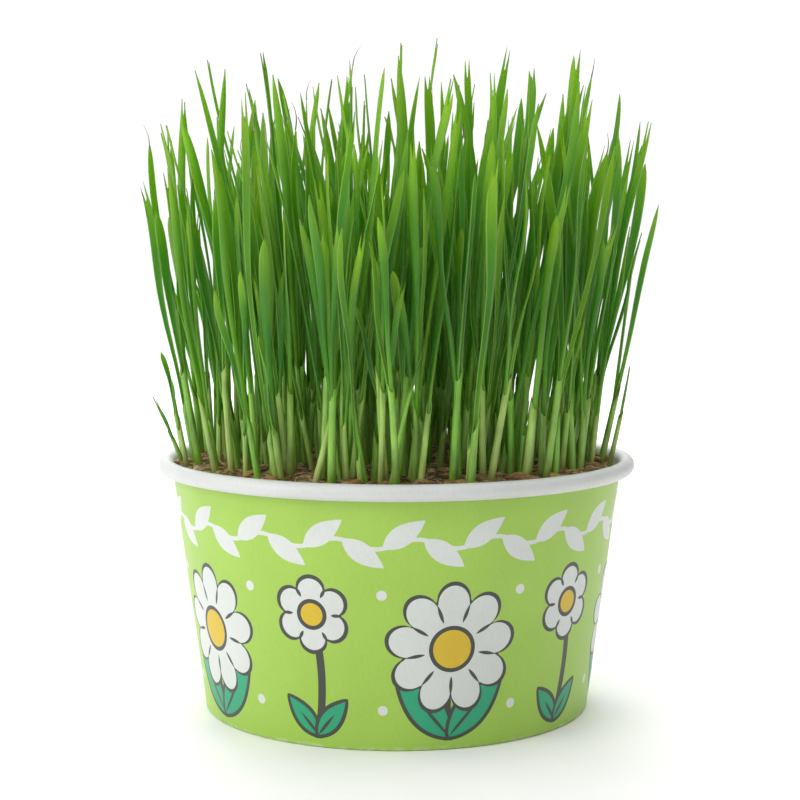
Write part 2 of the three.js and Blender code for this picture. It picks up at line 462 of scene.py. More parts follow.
    def lit_through(self, shader: bpy.types.Node, colour: Socket, share: float) -> bpy.types.Node:
        """Lets a share of the light through the surface.

        Args:
            shader: The surface's main shader.
            colour: The colour of the light that comes through.
            share: How much of the light comes through.

        Returns:
            The node that mixes both.
        """
        glow = self.add("ShaderNodeBsdfTranslucent")
        self.feed(glow.inputs["Color"], colour)
        both = self.add("ShaderNodeMixShader")
        both.inputs["Fac"].default_value = share
        self.feed(both.inputs[1], shader.outputs[0])
        self.feed(both.inputs[2], glow.outputs[0])
        return both

    def finish(self, shader: bpy.types.Node) -> bpy.types.Material:
        """Ends the tree.

        Args:
            shader: What the surface shows.

        Returns:
            The material.
        """
        output = self.add("ShaderNodeOutputMaterial")
        self.feed(output.inputs["Surface"], shader.outputs[0])
        return self.material


@dataclass(frozen=True)
class LeafFinish:
    """Fresh leaf: satin, lets light through, veined along its length and each leaf a shade of its own. Its
    colour along the blade holds painted light and shade, and its margins a painted highlight.
    """

    name: str = "grass_blade"
    # Colour along the blade, partly the leaf's own and partly painted light and shade: the foot and the tip
    # are lightened as painted light and the middle darkened as painted shade, over the leaf's own yellowing
    # towards the tip.
    along: Stops = ((0.0, "8ecc3c"), (0.2, "74be2a"), (0.45, "489822"), (0.72, "5aa81e"), (1.0, "b0de22"))
    warm: str = "98c818"
    warm_tints: Span = (0.55, 1.0)
    warm_share: float = 0.55
    cool: str = "3a8c34"
    cool_tints: Span = (0.0, 0.4)
    cool_share: float = 0.5
    # Colour of a painted highlight along the blade's margins; the pale vein lines are drawn in it too.
    edge: str = "cbe394"
    highlight_from: float = 0.65
    highlight_share: float = 0.5
    dry: str = "b3a878"
    through: str = "98dc0a"
    through_mix: float = 0.6
    through_share: float = 0.48
    vein_count: float = 22.0
    vein_from: float = 0.2
    vein_share: float = 0.16
    vein_depth: float = 0.05
    vein_strength: float = 0.5
    mottle_size: float = 9.0
    mottle_detail: float = 3.0
    mottle_stretch: tuple[float, float, float] = (1.0, 1.0, 0.25)
    mottle: Stops = ((0.3, "dedede"), (0.7, "ffffff"))
    roughness: Span = (0.26, 0.42)
    specular: float = 0.46

    def make(self) -> bpy.types.Material:
        """Builds the material.

        Returns:
            The material.
        """
        sketch = NodeSketch(self.name)
        tint = sketch.number("tint")
        across = sketch.number("across")
        # The ramp along the blade carries painted light at the foot and tip and painted shade in the middle.
        green = sketch.ramp(sketch.number("along"), self.along)
        warmth = sketch.spread(tint, self.warm_tints, (0.0, self.warm_share))
        warm = sketch.mix(warmth, green, linear(self.warm))
        coolness = sketch.spread(tint, self.cool_tints, (self.cool_share, 0.0))
        shade = sketch.mix(coolness, warm, linear(self.cool))
        # Painted highlight: the blade's margins pale towards the edge colour.
        painted_highlight = sketch.spread(sketch.math("ABSOLUTE", across), (self.highlight_from, 1.0), (0.0, self.highlight_share))
        highlighted = sketch.mix(painted_highlight, shade, linear(self.edge))
        stripes = sketch.math("SINE", sketch.math("MULTIPLY", across, self.vein_count))
        lines = sketch.spread(stripes, (self.vein_from, 1.0), (0.0, self.vein_share))
        pale = sketch.mix(lines, highlighted, linear(self.edge))
        clouds = sketch.noise(self.mottle_size, self.mottle_detail, sketch.stretched(self.mottle_stretch))
        mottled = sketch.toned(pale, clouds, self.mottle)
        colour = sketch.mix(sketch.number("dry"), mottled, linear(self.dry))
        veins = sketch.spread(stripes, (-1.0, 1.0), (0.0, 1.0))
        normal = sketch.bump(veins, self.vein_depth, self.vein_strength)
        roughness = sketch.spread(clouds, CLOUD_SPAN, self.roughness)
        shader = sketch.surface(colour, roughness, normal, self.specular)
        through = sketch.mix(self.through_mix, colour, linear(self.through))
        return sketch.finish(sketch.lit_through(shader, through, self.through_share))


@dataclass(frozen=True)
class SheathFinish:
    """Pale sheath round the foot of a shoot, whitish at the coir and green at its mouth."""

    name: str = "grass_sheath"
    along: Stops = ((0.0, "a2a258"), (0.15, "b2c66a"), (0.5, "aed068"), (1.0, "a4cc5a"))
    shade: str = "72b82a"
    shade_tints: Span = (0.15, 0.9)
    shade_share: float = 0.9
    vein: str = "cdd996"
    vein_count: float = 9.0
    vein_share: float = 0.14
    vein_depth: float = 0.04
    vein_strength: float = 0.4
    mottle_size: float = 2.5
    mottle_detail: float = 3.0
    mottle_stretch: tuple[float, float, float] = (1.0, 1.0, 0.3)
    mottle: Stops = ((0.25, "b8b8b8"), (0.65, "ffffff"))
    roughness: Span = (0.3, 0.44)
    specular: float = 0.5

    def make(self) -> bpy.types.Material:
        """Builds the material.

        Returns:
            The material.
        """
        sketch = NodeSketch(self.name)
        green = sketch.ramp(sketch.number("along"), self.along)
        greenness = sketch.spread(sketch.number("tint"), self.shade_tints, (0.0, self.shade_share))
        own = sketch.mix(greenness, green, linear(self.shade))
        stripes = sketch.math("SINE", sketch.math("MULTIPLY", sketch.number("across"), self.vein_count))
        lines = sketch.spread(stripes, (0.0, 1.0), (0.0, self.vein_share))
        pale = sketch.mix(lines, own, linear(self.vein))
        clouds = sketch.noise(self.mottle_size, self.mottle_detail, sketch.stretched(self.mottle_stretch))
        colour = sketch.toned(pale, clouds, self.mottle)
        normal = sketch.bump(stripes, self.vein_depth, self.vein_strength)
        roughness = sketch.spread(clouds, CLOUD_SPAN, self.roughness)
        return sketch.finish(sketch.surface(colour, roughness, normal, self.specular))


@dataclass(frozen=True)
class StrawFinish:
    """Dry plant matter, such as a withered tip, a husk or a grain, from dark to pale by its tint."""

    name: str
    stops: Stops
    grain_size: float = 0.8
    grain_detail: float = 4.0
    grain_depth: float = 0.08
    grain_strength: float = 0.5
    streaks: Stops = ((0.25, "a89f92"), (0.7, "ffffff"))
    roughness: Span = (0.5, 0.75)
    specular: float = 0.3

    def make(self) -> bpy.types.Material:
        """Builds the material.

        Returns:
            The material.
        """
        sketch = NodeSketch(self.name)
        colour = sketch.ramp(sketch.number("tint"), self.stops)
        clouds = sketch.noise(self.grain_size, self.grain_detail)
        streaked = sketch.toned(colour, clouds, self.streaks)
        normal = sketch.bump(clouds, self.grain_depth, self.grain_strength)
        roughness = sketch.spread(clouds, CLOUD_SPAN, self.roughness)
        return sketch.finish(sketch.surface(streaked, roughness, normal, self.specular))


@dataclass(frozen=True)
class CoirFinish:
    """Moist coconut fibre and dust: dark brown, with lighter strands and crumbs in it."""

    name: str = "coir"
    stops: Stops = ((0.25, "463822"), (0.45, "7a663c"), (0.6, "a48e5a"), (0.78, "c8b484"))
    lump_size: float = 3.2
    lump_detail: float = 6.0
    strand_size: float = 0.9
    strand_detail: float = 4.0
    strand_stretch: float = 0.22
    depth: float = 0.9
    strength: float = 0.8
    roughness: float = 0.9
    specular: float = 0.2
    sheen: float = 0.15

    def make(self) -> bpy.types.Material:
        """Builds the material.

        Returns:
            The material.
        """
        sketch = NodeSketch(self.name)
        lumps = sketch.noise(self.lump_size, self.lump_detail)
        lengthwise = sketch.stretched((1.0, self.strand_stretch, 1.0))
        crosswise = sketch.stretched((self.strand_stretch, 1.0, 1.0))
        strands = sketch.noise(self.strand_size, self.strand_detail, lengthwise)
        crossing = sketch.noise(self.strand_size, self.strand_detail, crosswise)
        relief = sketch.math("ADD", lumps, sketch.math("MAXIMUM", strands, crossing))
        brown = sketch.ramp(sketch.math("MULTIPLY", relief, 0.5), self.stops)
        normal = sketch.bump(relief, self.depth, self.strength)
        return sketch.finish(sketch.surface(brown, self.roughness, normal, self.specular, self.sheen))


class Ink(Enum):
    """What the outside of the cup is printed with, by its colour."""

    LIME = "a1c84e"
    CREAM = "d6dad7"
    CHARCOAL = "40433d"
    TEAL = "22a276"
    GOLD = "d8b628"


@dataclass(frozen=True)
class CardFinish:
    """Coated paperboard: matt, faintly fibrous, and a little scuffed where it stands."""

    name: str
    colour: str
    scuffed: str = "e9ead9"
    fibre_size: float = 0.5
    fibre_detail: float = 3.0
    fibre_stretch: tuple[float, float, float] = (1.0, 1.0, 0.35)
    fibre_depth: float = 0.02
    fibre_strength: float = 0.07
    specks: Stops = ((0.3, "fafafa"), (0.6, "ffffff"))
    cloud_size: float = 14.0
    cloud_detail: float = 2.0
    clouds: Stops = ((0.3, "f8f8f7"), (0.7, "ffffff"))
    scuff_height: float = 1.2
    scuff_share: float = 0.5
    scuff_size: float = 2.2
    scuff_detail: float = 3.0
    scuff_span: Span = (0.45, 0.65)
    roughness: Span = (0.36, 0.46)
    specular: float = 0.5

    def make(self) -> bpy.types.Material:
        """Builds the material.

        Returns:
            The material.
        """
        sketch = NodeSketch(self.name)
        fibres = sketch.noise(self.fibre_size, self.fibre_detail, sketch.stretched(self.fibre_stretch))
        speckled = sketch.toned(linear(self.colour), fibres, self.specks)
        toned = sketch.toned(speckled, sketch.noise(self.cloud_size, self.cloud_detail), self.clouds)
        split = sketch.add("ShaderNodeSeparateXYZ")
        sketch.feed(split.inputs[0], sketch.place)
        near_foot = sketch.spread(split.outputs["Z"], (0.0, self.scuff_height * MM), (self.scuff_share, 0.0))
        patches = sketch.spread(sketch.noise(self.scuff_size, self.scuff_detail), self.scuff_span, (0.0, 1.0))
        colour = sketch.mix(sketch.math("MULTIPLY", near_foot, patches), toned, linear(self.scuffed))
        normal = sketch.bump(fibres, self.fibre_depth, self.fibre_strength)
        roughness = sketch.spread(fibres, CLOUD_SPAN, self.roughness)
        return sketch.finish(sketch.surface(colour, roughness, normal, self.specular))


@dataclass(frozen=True)
class FloorFinish:
    """Pale matt studio floor."""

    name: str = "studio_floor"
    colour: str = "f7f7f6"
    cloud_size: float = 60.0
    cloud_detail: float = 2.0
    clouds: Stops = ((0.3, "fbfbfb"), (0.7, "ffffff"))
    depth: float = 0.02
    strength: float = 0.1
    roughness: float = 0.8
    specular: float = 0.1

    def make(self) -> bpy.types.Material:
        """Builds the material.

        Returns:
            The material.
        """
        sketch = NodeSketch(self.name)
        clouds = sketch.noise(self.cloud_size, self.cloud_detail)
        colour = sketch.toned(linear(self.colour), clouds, self.clouds)
        normal = sketch.bump(clouds, self.depth, self.strength)
        return sketch.finish(sketch.surface(colour, self.roughness, normal, self.specular))


@dataclass
class Shoot:
    """One sprout: which tuft it stands in, where its root is, how tall its sheath is, and its first leaf."""

    tuft: int
    root: Point
    sheath: float
    leaf: "Leaf | None" = None


@dataclass
class Leaf:
    """A leaf's middle line and width: it leans from its root and bows a little more towards its tip."""

    NECK_WIDTH = 0.4
    NECK_LENGTH = 0.7
    TIP_POWER = 12
    STEM_RADIUS = 0.8

    shoot: Shoot
    root: Point
    start: float
    sheath: float
    rise: float
    lean: Point
    bow: Point
    half: float
    turn: float
    twist: float
    ground: float
    reach: np.ndarray = field(default_factory=lambda: np.zeros(0))

    def points(self, share: np.ndarray) -> np.ndarray:
        """Follows the leaf's middle line.

        Args:
            share: How far up the rise each point is.

        Returns:
            The points, one in each row.
        """
        x, y = (
            root + self.rise * (lean * share + bow * share**2)
            for root, lean, bow in zip(self.root, self.lean, self.bow)
        )
        return np.stack([x, y, self.ground + self.start + self.rise * share], axis=-1)

    def blade_share(self, share: np.ndarray) -> np.ndarray:
        """How far along the free blade each share of the rise is, from the sheath's mouth to the tip."""
        mouth = self.sheath / self.rise
        return np.clip((share - mouth) / (1.0 - mouth), 0.0, 1.0)

    def half_widths(self, share: np.ndarray) -> np.ndarray:
        """Half the leaf's width: the round stem, then a blade that widens and runs out to a point.

        Args:
            share: How far up the rise each place is.

        Returns:
            Half the width at each place.
        """
        blade = self.blade_share(share)
        opening = smoothstep(blade, 0.0, self.NECK_LENGTH)
        width = self.half * blend(self.NECK_WIDTH, 1.0, opening) * (1.0 - blade**self.TIP_POWER)
        return np.where(share * self.rise <= self.sheath, self.STEM_RADIUS, width)


@dataclass
class GrowthRule:
    """Where the tufts stand and how their leaves rise. The solids follow the same rule and the same draws."""

    seed: int = 20260
    ground: float = 59.5
    tuft_pitch: float = 14.95
    tuft_rings: int = 3
    ring_tufts: int = 6
    ring_twist: float = 0.3
    shoots: int = 5
    shoot_radius: Span = (3.6, 4.7)
    shoot_jitter: float = 0.16
    sheath: Span = (11.0, 25.0)
    rise: float = 98.5
    edge_loss: float = 19.0
    edge_power: int = 3
    short_share: float = 0.4
    out_lean: float = 0.12
    spread: float = 0.085
    bow: float = 0.06
    half_width: Span = (1.1, 1.7)
    twist: float = 0.5
    second_share: float = 0.7
    second_rise: Span = (0.42, 0.8)
    second_root: float = 0.72
    second_lean: Span = (0.09, 0.2)
    second_width: Span = (0.75, 0.95)
    second_free: float = 18.0
    canopy_radius: float = 62.5
    leaf_gap: float = 0.4
    tries: int = 80
    test_step: float = 3.0
    marked: Marks = (
        ((-60.4, -6, 123), (-49, -6)),
        ((-55.8, -4, 137), (-49, 2)),
        ((-52.2, 4, 144), (-46, 8)),
        ((-40.7, -10, 152.5), (-38, -12)),
        ((9, 0, 158), (8, 2)),
        ((41.4, -8, 155), (38, -12)),
        ((52.5, 2, 147.6), (47, 4)),
        ((57.7, -4, 140.7), (49, -4)),
        ((61.8, -6, 121), (49, -10)),
        ((30.3, -42, 109.5), (20, -44)),
        ((15.2, -38, 136), (8.8, -46)),
        ((-2.4, -30, 130), (-17, -42)),
        ((-15.4, -46, 114.5), (-21, -44)),
        ((0, 61.5, 128), (0, 49)),
        ((-4, -61, 118), (-4, -49)),
    )

    @property
    def reach_radius(self) -> float:
        """How far from the middle the outermost tufts stand."""
        return self.tuft_rings * self.tuft_pitch

    def centres(self) -> list[Point]:
        """Places the tufts, ring by ring.

        Returns:
            Their middles.
        """
        found = []
        for number in range(self.tuft_rings + 1):
            count = self.ring_tufts * number if number else 1
            for i in range(count):
                angle = TURN * i / count + self.ring_twist * number
                radius = number * self.tuft_pitch
                found.append((radius * math.cos(angle), radius * math.sin(angle)))
        return found

    def roots(self, draw: Draw) -> list[Shoot]:
        """Places the shoots of all tufts, still without leaves.

        Args:
            draw: The draws to use.

        Returns:
            The shoots.
        """
        found = []
        for tuft, (x, y) in enumerate(self.centres()):
            turn = draw(0.0, TURN)
            for i in range(self.shoots):
                angle = turn + TURN * i / self.shoots + draw(-self.shoot_jitter, self.shoot_jitter)
                radius = draw(*self.shoot_radius)
                root = (x + radius * math.cos(angle), y + radius * math.sin(angle))
                found.append(Shoot(tuft, root, draw(*self.sheath)))
        return found

    def blade(self, draw: Draw) -> dict[str, float | Point]:
        """Draws what every leaf has of its own.

        Args:
            draw: The draws to use.

        Returns:
            Its bow, width, turn and twist, by name.
        """
        return {
            "bow": (draw(-self.bow, self.bow), draw(-self.bow, self.bow)),
            "half": draw(*self.half_width),
            "turn": draw(0.0, math.pi),
            "twist": draw(-self.twist, self.twist),
        }

    def canopy_rise(self, root: Point) -> float:
        """How tall a leaf may be that is rooted there."""
        share = math.hypot(*root) / self.reach_radius
        return self.rise - self.edge_loss * min(share, 1.0) ** self.edge_power

    def marked_leaf(self, shoot: Shoot, tip: Sequence[float], draw: Draw) -> Leaf:
        """Aims a leaf at a tip.

        Args:
            shoot: What it grows from.
            tip: Where it ends.
            draw: The draws to use.

        Returns:
            The leaf.
        """
        own = self.blade(draw)
        rise = tip[2] - self.ground
        lean = tuple((tip[axis] - shoot.root[axis]) / rise - own["bow"][axis] for axis in (0, 1))
        return Leaf(shoot, shoot.root, 0.0, shoot.sheath, rise, lean, ground=self.ground, **own)

    def first_leaf(self, shoot: Shoot, draw: Draw) -> Leaf:
        """Draws a shoot's first leaf, leaning outwards the more the nearer it stands to the wall.

        Args:
            shoot: What it grows from.
            draw: The draws to use.

        Returns:
            The leaf.
        """
        out = [self.out_lean * place / self.reach_radius for place in shoot.root]
        lean = tuple(share + draw(-self.spread, self.spread) for share in out)
        rise = self.canopy_rise(shoot.root) * (1.0 - draw(0.0, self.short_share))
        own = self.blade(draw)
        return Leaf(shoot, shoot.root, 0.0, shoot.sheath, rise, lean, ground=self.ground, **own)

    def second_leaf(self, shoot: Shoot, draw: Draw) -> Leaf:
        """Draws a second leaf, which comes out of the first one's sheath and leans another way.

        Args:
            shoot: What it grows from.
            draw: The draws to use.

        Returns:
            The leaf.
        """
        first = shoot.leaf
        start = self.second_root * shoot.sheath
        x, y = first.points(np.array([start / first.rise]))[0, :2]
        side = draw(0.0, TURN)
        apart = draw(*self.second_lean)
        lean = (first.lean[0] + apart * math.cos(side), first.lean[1] + apart * math.sin(side))
        rise = first.rise * draw(*self.second_rise)
        own = self.blade(draw)
        own["half"] = first.half * draw(*self.second_width)
        return Leaf(shoot, (x, y), start, 0.0, rise, lean, ground=self.ground, **own)

    def measure(self, leaf: Leaf) -> None:
        """Notes where a leaf is, and how wide, at every test height.

        Args:
            leaf: The leaf, which keeps the notes.
        """
        heights = np.arange(0.0, self.rise, self.test_step)
        share = (heights - leaf.start) / leaf.rise
        reach = np.column_stack([leaf.points(share)[:, :2], leaf.half_widths(share)])
        reach[(share < 0.0) | (share > 1.0)] = np.nan
        leaf.reach = reach

    def is_clear(self, leaf: Leaf, grown: Sequence[Leaf], gap: float) -> bool:
        """Whether a leaf stays in the canopy and clear of those grown before it, but for its own root.

        Args:
            leaf: The new leaf.
            grown: The leaves before it.
            gap: How far apart they have to be.

        Returns:
            True if it is clear.
        """
        tip = leaf.points(np.array([1.0]))[0]
        if math.hypot(tip[0], tip[1]) > self.canopy_radius:
            return False
        if not grown:
            return True
        others = np.stack([other.reach for other in grown])
        apart = np.hypot(others[..., 0] - leaf.reach[:, 0], others[..., 1] - leaf.reach[:, 1])
        meets = apart < others[..., 2] + leaf.reach[:, 2] + gap
        joined = np.arange(len(leaf.reach)) * self.test_step < leaf.start + self.second_free
        own = np.array([other.shoot is leaf.shoot for other in grown])
        meets[np.ix_(own, joined)] = False
        return not meets.any()

    def grow_clear(
        self,
        make_leaf: Callable[[Shoot, Draw], Leaf],
        shoot: Shoot,
        draw: Draw,
        grown: list[Leaf],
        gap: float,
        tries: int,
    ) -> Leaf | None:
        """Draws leaves until one is clear of those grown before it.

        Args:
            make_leaf: Draws one leaf for the shoot.
            shoot: What the leaf grows from.
            draw: The draws to use.
            grown: The leaves so far, which the new one joins.
            gap: How far apart they have to be.
            tries: How many leaves are drawn at most.

        Returns:
            The leaf, or None if none of the tries was clear.
        """
        for _ in range(tries):
            leaf = make_leaf(shoot, draw)
            self.measure(leaf)
            if self.is_clear(leaf, grown, gap):
                grown.append(leaf)
                return leaf
        return None

    def grow(self) -> list[Leaf]:
        """Grows all leaves that the solids have.

        Returns:
            The leaves.
        """
        draw = Draw(self.seed)
        shoots = self.roots(draw)
        grown: list[Leaf] = []
        for tip, root in self.marked:
            free = [shoot for shoot in shoots if shoot.leaf is None]
            shoot = min(free, key=lambda s: math.hypot(s.root[0] - root[0], s.root[1] - root[1]))
            shoot.leaf = self.marked_leaf(shoot, tip, draw)
            self.measure(shoot.leaf)
            grown.append(shoot.leaf)
        for shoot in shoots:
            if shoot.leaf is None:
                shoot.leaf = self.grow_clear(self.first_leaf, shoot, draw, grown, self.leaf_gap, self.tries)
        for shoot in shoots:
            if shoot.leaf is not None and draw(0.0, 1.0) < self.second_share:
                self.grow_clear(self.second_leaf, shoot, draw, grown, self.leaf_gap, self.tries)
        return grown


@dataclass
class LateGrowth:
    """Further leaves, thinner shoots and short sprouts that fill the stand between the leaves of the rule."""

    rule: GrowthRule
    seed: int = 3301
    third_share: float = 0.3
    third_lean: Span = (0.0, 0.1)
    edge_thinning: float = 0.6
    shoots: int = 5
    root_radius: float = 7.8
    sheath: Span = (6.0, 22.0)
    rise_share: Span = (0.6, 0.96)
    edge_loss: float = 12.0
    edge_power: int = 6
    half_width: Span = (0.8, 1.5)
    spread: float = 0.16
    bow: float = 0.09
    twist: float = 1.1
    gap: float = -0.6
    tries: int = 24
    second_share: float = 0.3
    marked_sheath: float = 0.5
    marked: Marks = (
        ((-56.0, -6.0, 86.0), (-51.0, -6.0)),
        ((-56.5, -9.0, 73.0), (-51.0, -8.5)),
        ((-53.0, -14.0, 80.0), (-49.5, -13.0)),
        ((55.5, -8.0, 83.0), (51.0, -8.0)),
    )
    sprouts: int = 2
    sprout_rise: Span = (8.0, 30.0)
    sprout_sheath: float = 0.75
    sprout_half: Span = (0.45, 0.6)

    def blade(self, draw: Draw) -> dict[str, float | Point]:
        """Draws what a late leaf has of its own.

        Args:
            draw: The draws to use.

        Returns:
            Its bow, turn and twist, by name.
        """
        return {
            "bow": (draw(-self.bow, self.bow), draw(-self.bow, self.bow)),
            "turn": draw(0.0, math.pi),
            "twist": draw(-self.twist, self.twist),
        }

    def lean(self, root: Point, draw: Draw) -> Point:
        """Draws how a leaf leans.

        Args:
            root: Where it stands.
            draw: The draws to use.

        Returns:
            Its lean in X and Y.
        """
        rule = self.rule
        return tuple(
            rule.out_lean * place / rule.reach_radius + draw(-self.spread, self.spread) for place in root
        )

    def rise(self, root: Point, draw: Draw) -> float:
        """Draws how far a leaf rooted there rises above the coir."""
        share = math.hypot(*root) / self.rule.reach_radius
        return (self.rule.rise - self.edge_loss * min(share, 1.0) ** self.edge_power) * draw(*self.rise_share)

    def third_leaf(self, shoot: Shoot, draw: Draw) -> Leaf:
        """Draws a further leaf out of a sheath that has grown by the rule.

        Args:
            shoot: What it grows from.
            draw: The draws to use.

        Returns:
            The leaf.
        """
        leaf = self.rule.second_leaf(shoot, draw)
        side = draw(0.0, TURN)
        apart = draw(*self.third_lean)
        first = shoot.leaf
        leaf.lean = (first.lean[0] + apart * math.cos(side), first.lean[1] + apart * math.sin(side))
        leaf.bow = (draw(-self.bow, self.bow), draw(-self.bow, self.bow))
        leaf.rise = self.rise(shoot.root, draw) - leaf.start
        return leaf

    def first_leaf(self, shoot: Shoot, draw: Draw) -> Leaf:
        """Draws a late shoot's first leaf.

        Args:
            shoot: What it grows from.
            draw: The draws to use.

        Returns:
            The leaf.
        """
        lean = self.lean(shoot.root, draw)
        rise = self.rise(shoot.root, draw)
        half = draw(*self.half_width)
        own = self.blade(draw)
        ground = self.rule.ground
        return Leaf(shoot, shoot.root, 0.0, shoot.sheath, rise, lean, half=half, ground=ground, **own)

    def sprout(self, shoot: Shoot, draw: Draw) -> Leaf:
        """Draws a sprout that has only just come up.

        Args:
            shoot: What it grows from.
            draw: The draws to use.

        Returns:
            Its leaf.
        """
        lean = self.lean(shoot.root, draw)
        rise = draw(*self.sprout_rise)
        half = draw(*self.sprout_half)
        own = self.blade(draw)
        sheath = self.sprout_sheath * rise
        return Leaf(shoot, shoot.root, 0.0, sheath, rise, lean, half=half, ground=self.rule.ground, **own)

    def root(self, tuft: int, centre: Point, draw: Draw) -> Shoot:
        """Draws a place for a late shoot.

        Args:
            tuft: The tuft's number.
            centre: The tuft's middle.
            draw: The draws to use.

        Returns:
            The shoot, still without a leaf.
        """
        angle = draw(0.0, TURN)
        radius = self.root_radius * math.sqrt(draw(0.0, 1.0))
        place = (centre[0] + radius * math.cos(angle), centre[1] + radius * math.sin(angle))
        return Shoot(tuft, place, draw(*self.sheath))

    def grow(self, grown: list[Leaf]) -> None:
        """Grows the late leaves between the leaves that are there.

        Args:
            grown: The leaves so far, which the new ones join.
        """
        draw = Draw(self.seed)
        rule = self.rule
        for tip, root in self.marked:
            apart = [math.hypot(root[0] - x, root[1] - y) for x, y in rule.centres()]
            shoot = Shoot(apart.index(min(apart)), root, self.marked_sheath * (tip[2] - rule.ground))
            shoot.leaf = rule.marked_leaf(shoot, tip, draw)
            shoot.leaf.half = self.half_width[0]
            rule.measure(shoot.leaf)
            grown.append(shoot.leaf)
        edge = rule.reach_radius + rule.shoot_radius[1]
        for shoot in [leaf.shoot for leaf in grown if leaf.sheath]:
            share = math.hypot(*shoot.root) / edge
            if draw(0.0, 1.0) < self.third_share * (1.0 - self.edge_thinning * share**self.edge_power):
                rule.grow_clear(self.third_leaf, shoot, draw, grown, self.gap, self.tries)
        kinds = [self.first_leaf] * self.shoots + [self.sprout] * self.sprouts
        for make_leaf in kinds:
            for tuft, centre in enumerate(rule.centres()):
                shoot = self.root(tuft, centre, draw)
                if math.hypot(*shoot.root) > edge:
                    continue
                shoot.leaf = rule.grow_clear(make_leaf, shoot, draw, grown, self.gap, self.tries)
                if shoot.leaf is None or make_leaf == self.sprout:
                    continue
                if draw(0.0, 1.0) < self.second_share:
                    rule.grow_clear(rule.second_leaf, shoot, draw, grown, self.gap, self.tries)


@dataclass
class BladeForm:
    """What a blade has of its own: fold, sway, waves, how late it narrows, and where and how it is torn."""

    fold: float
    sway: float
    wave: float
    phase: float
    tip: float
    cut: float
    teeth: np.ndarray


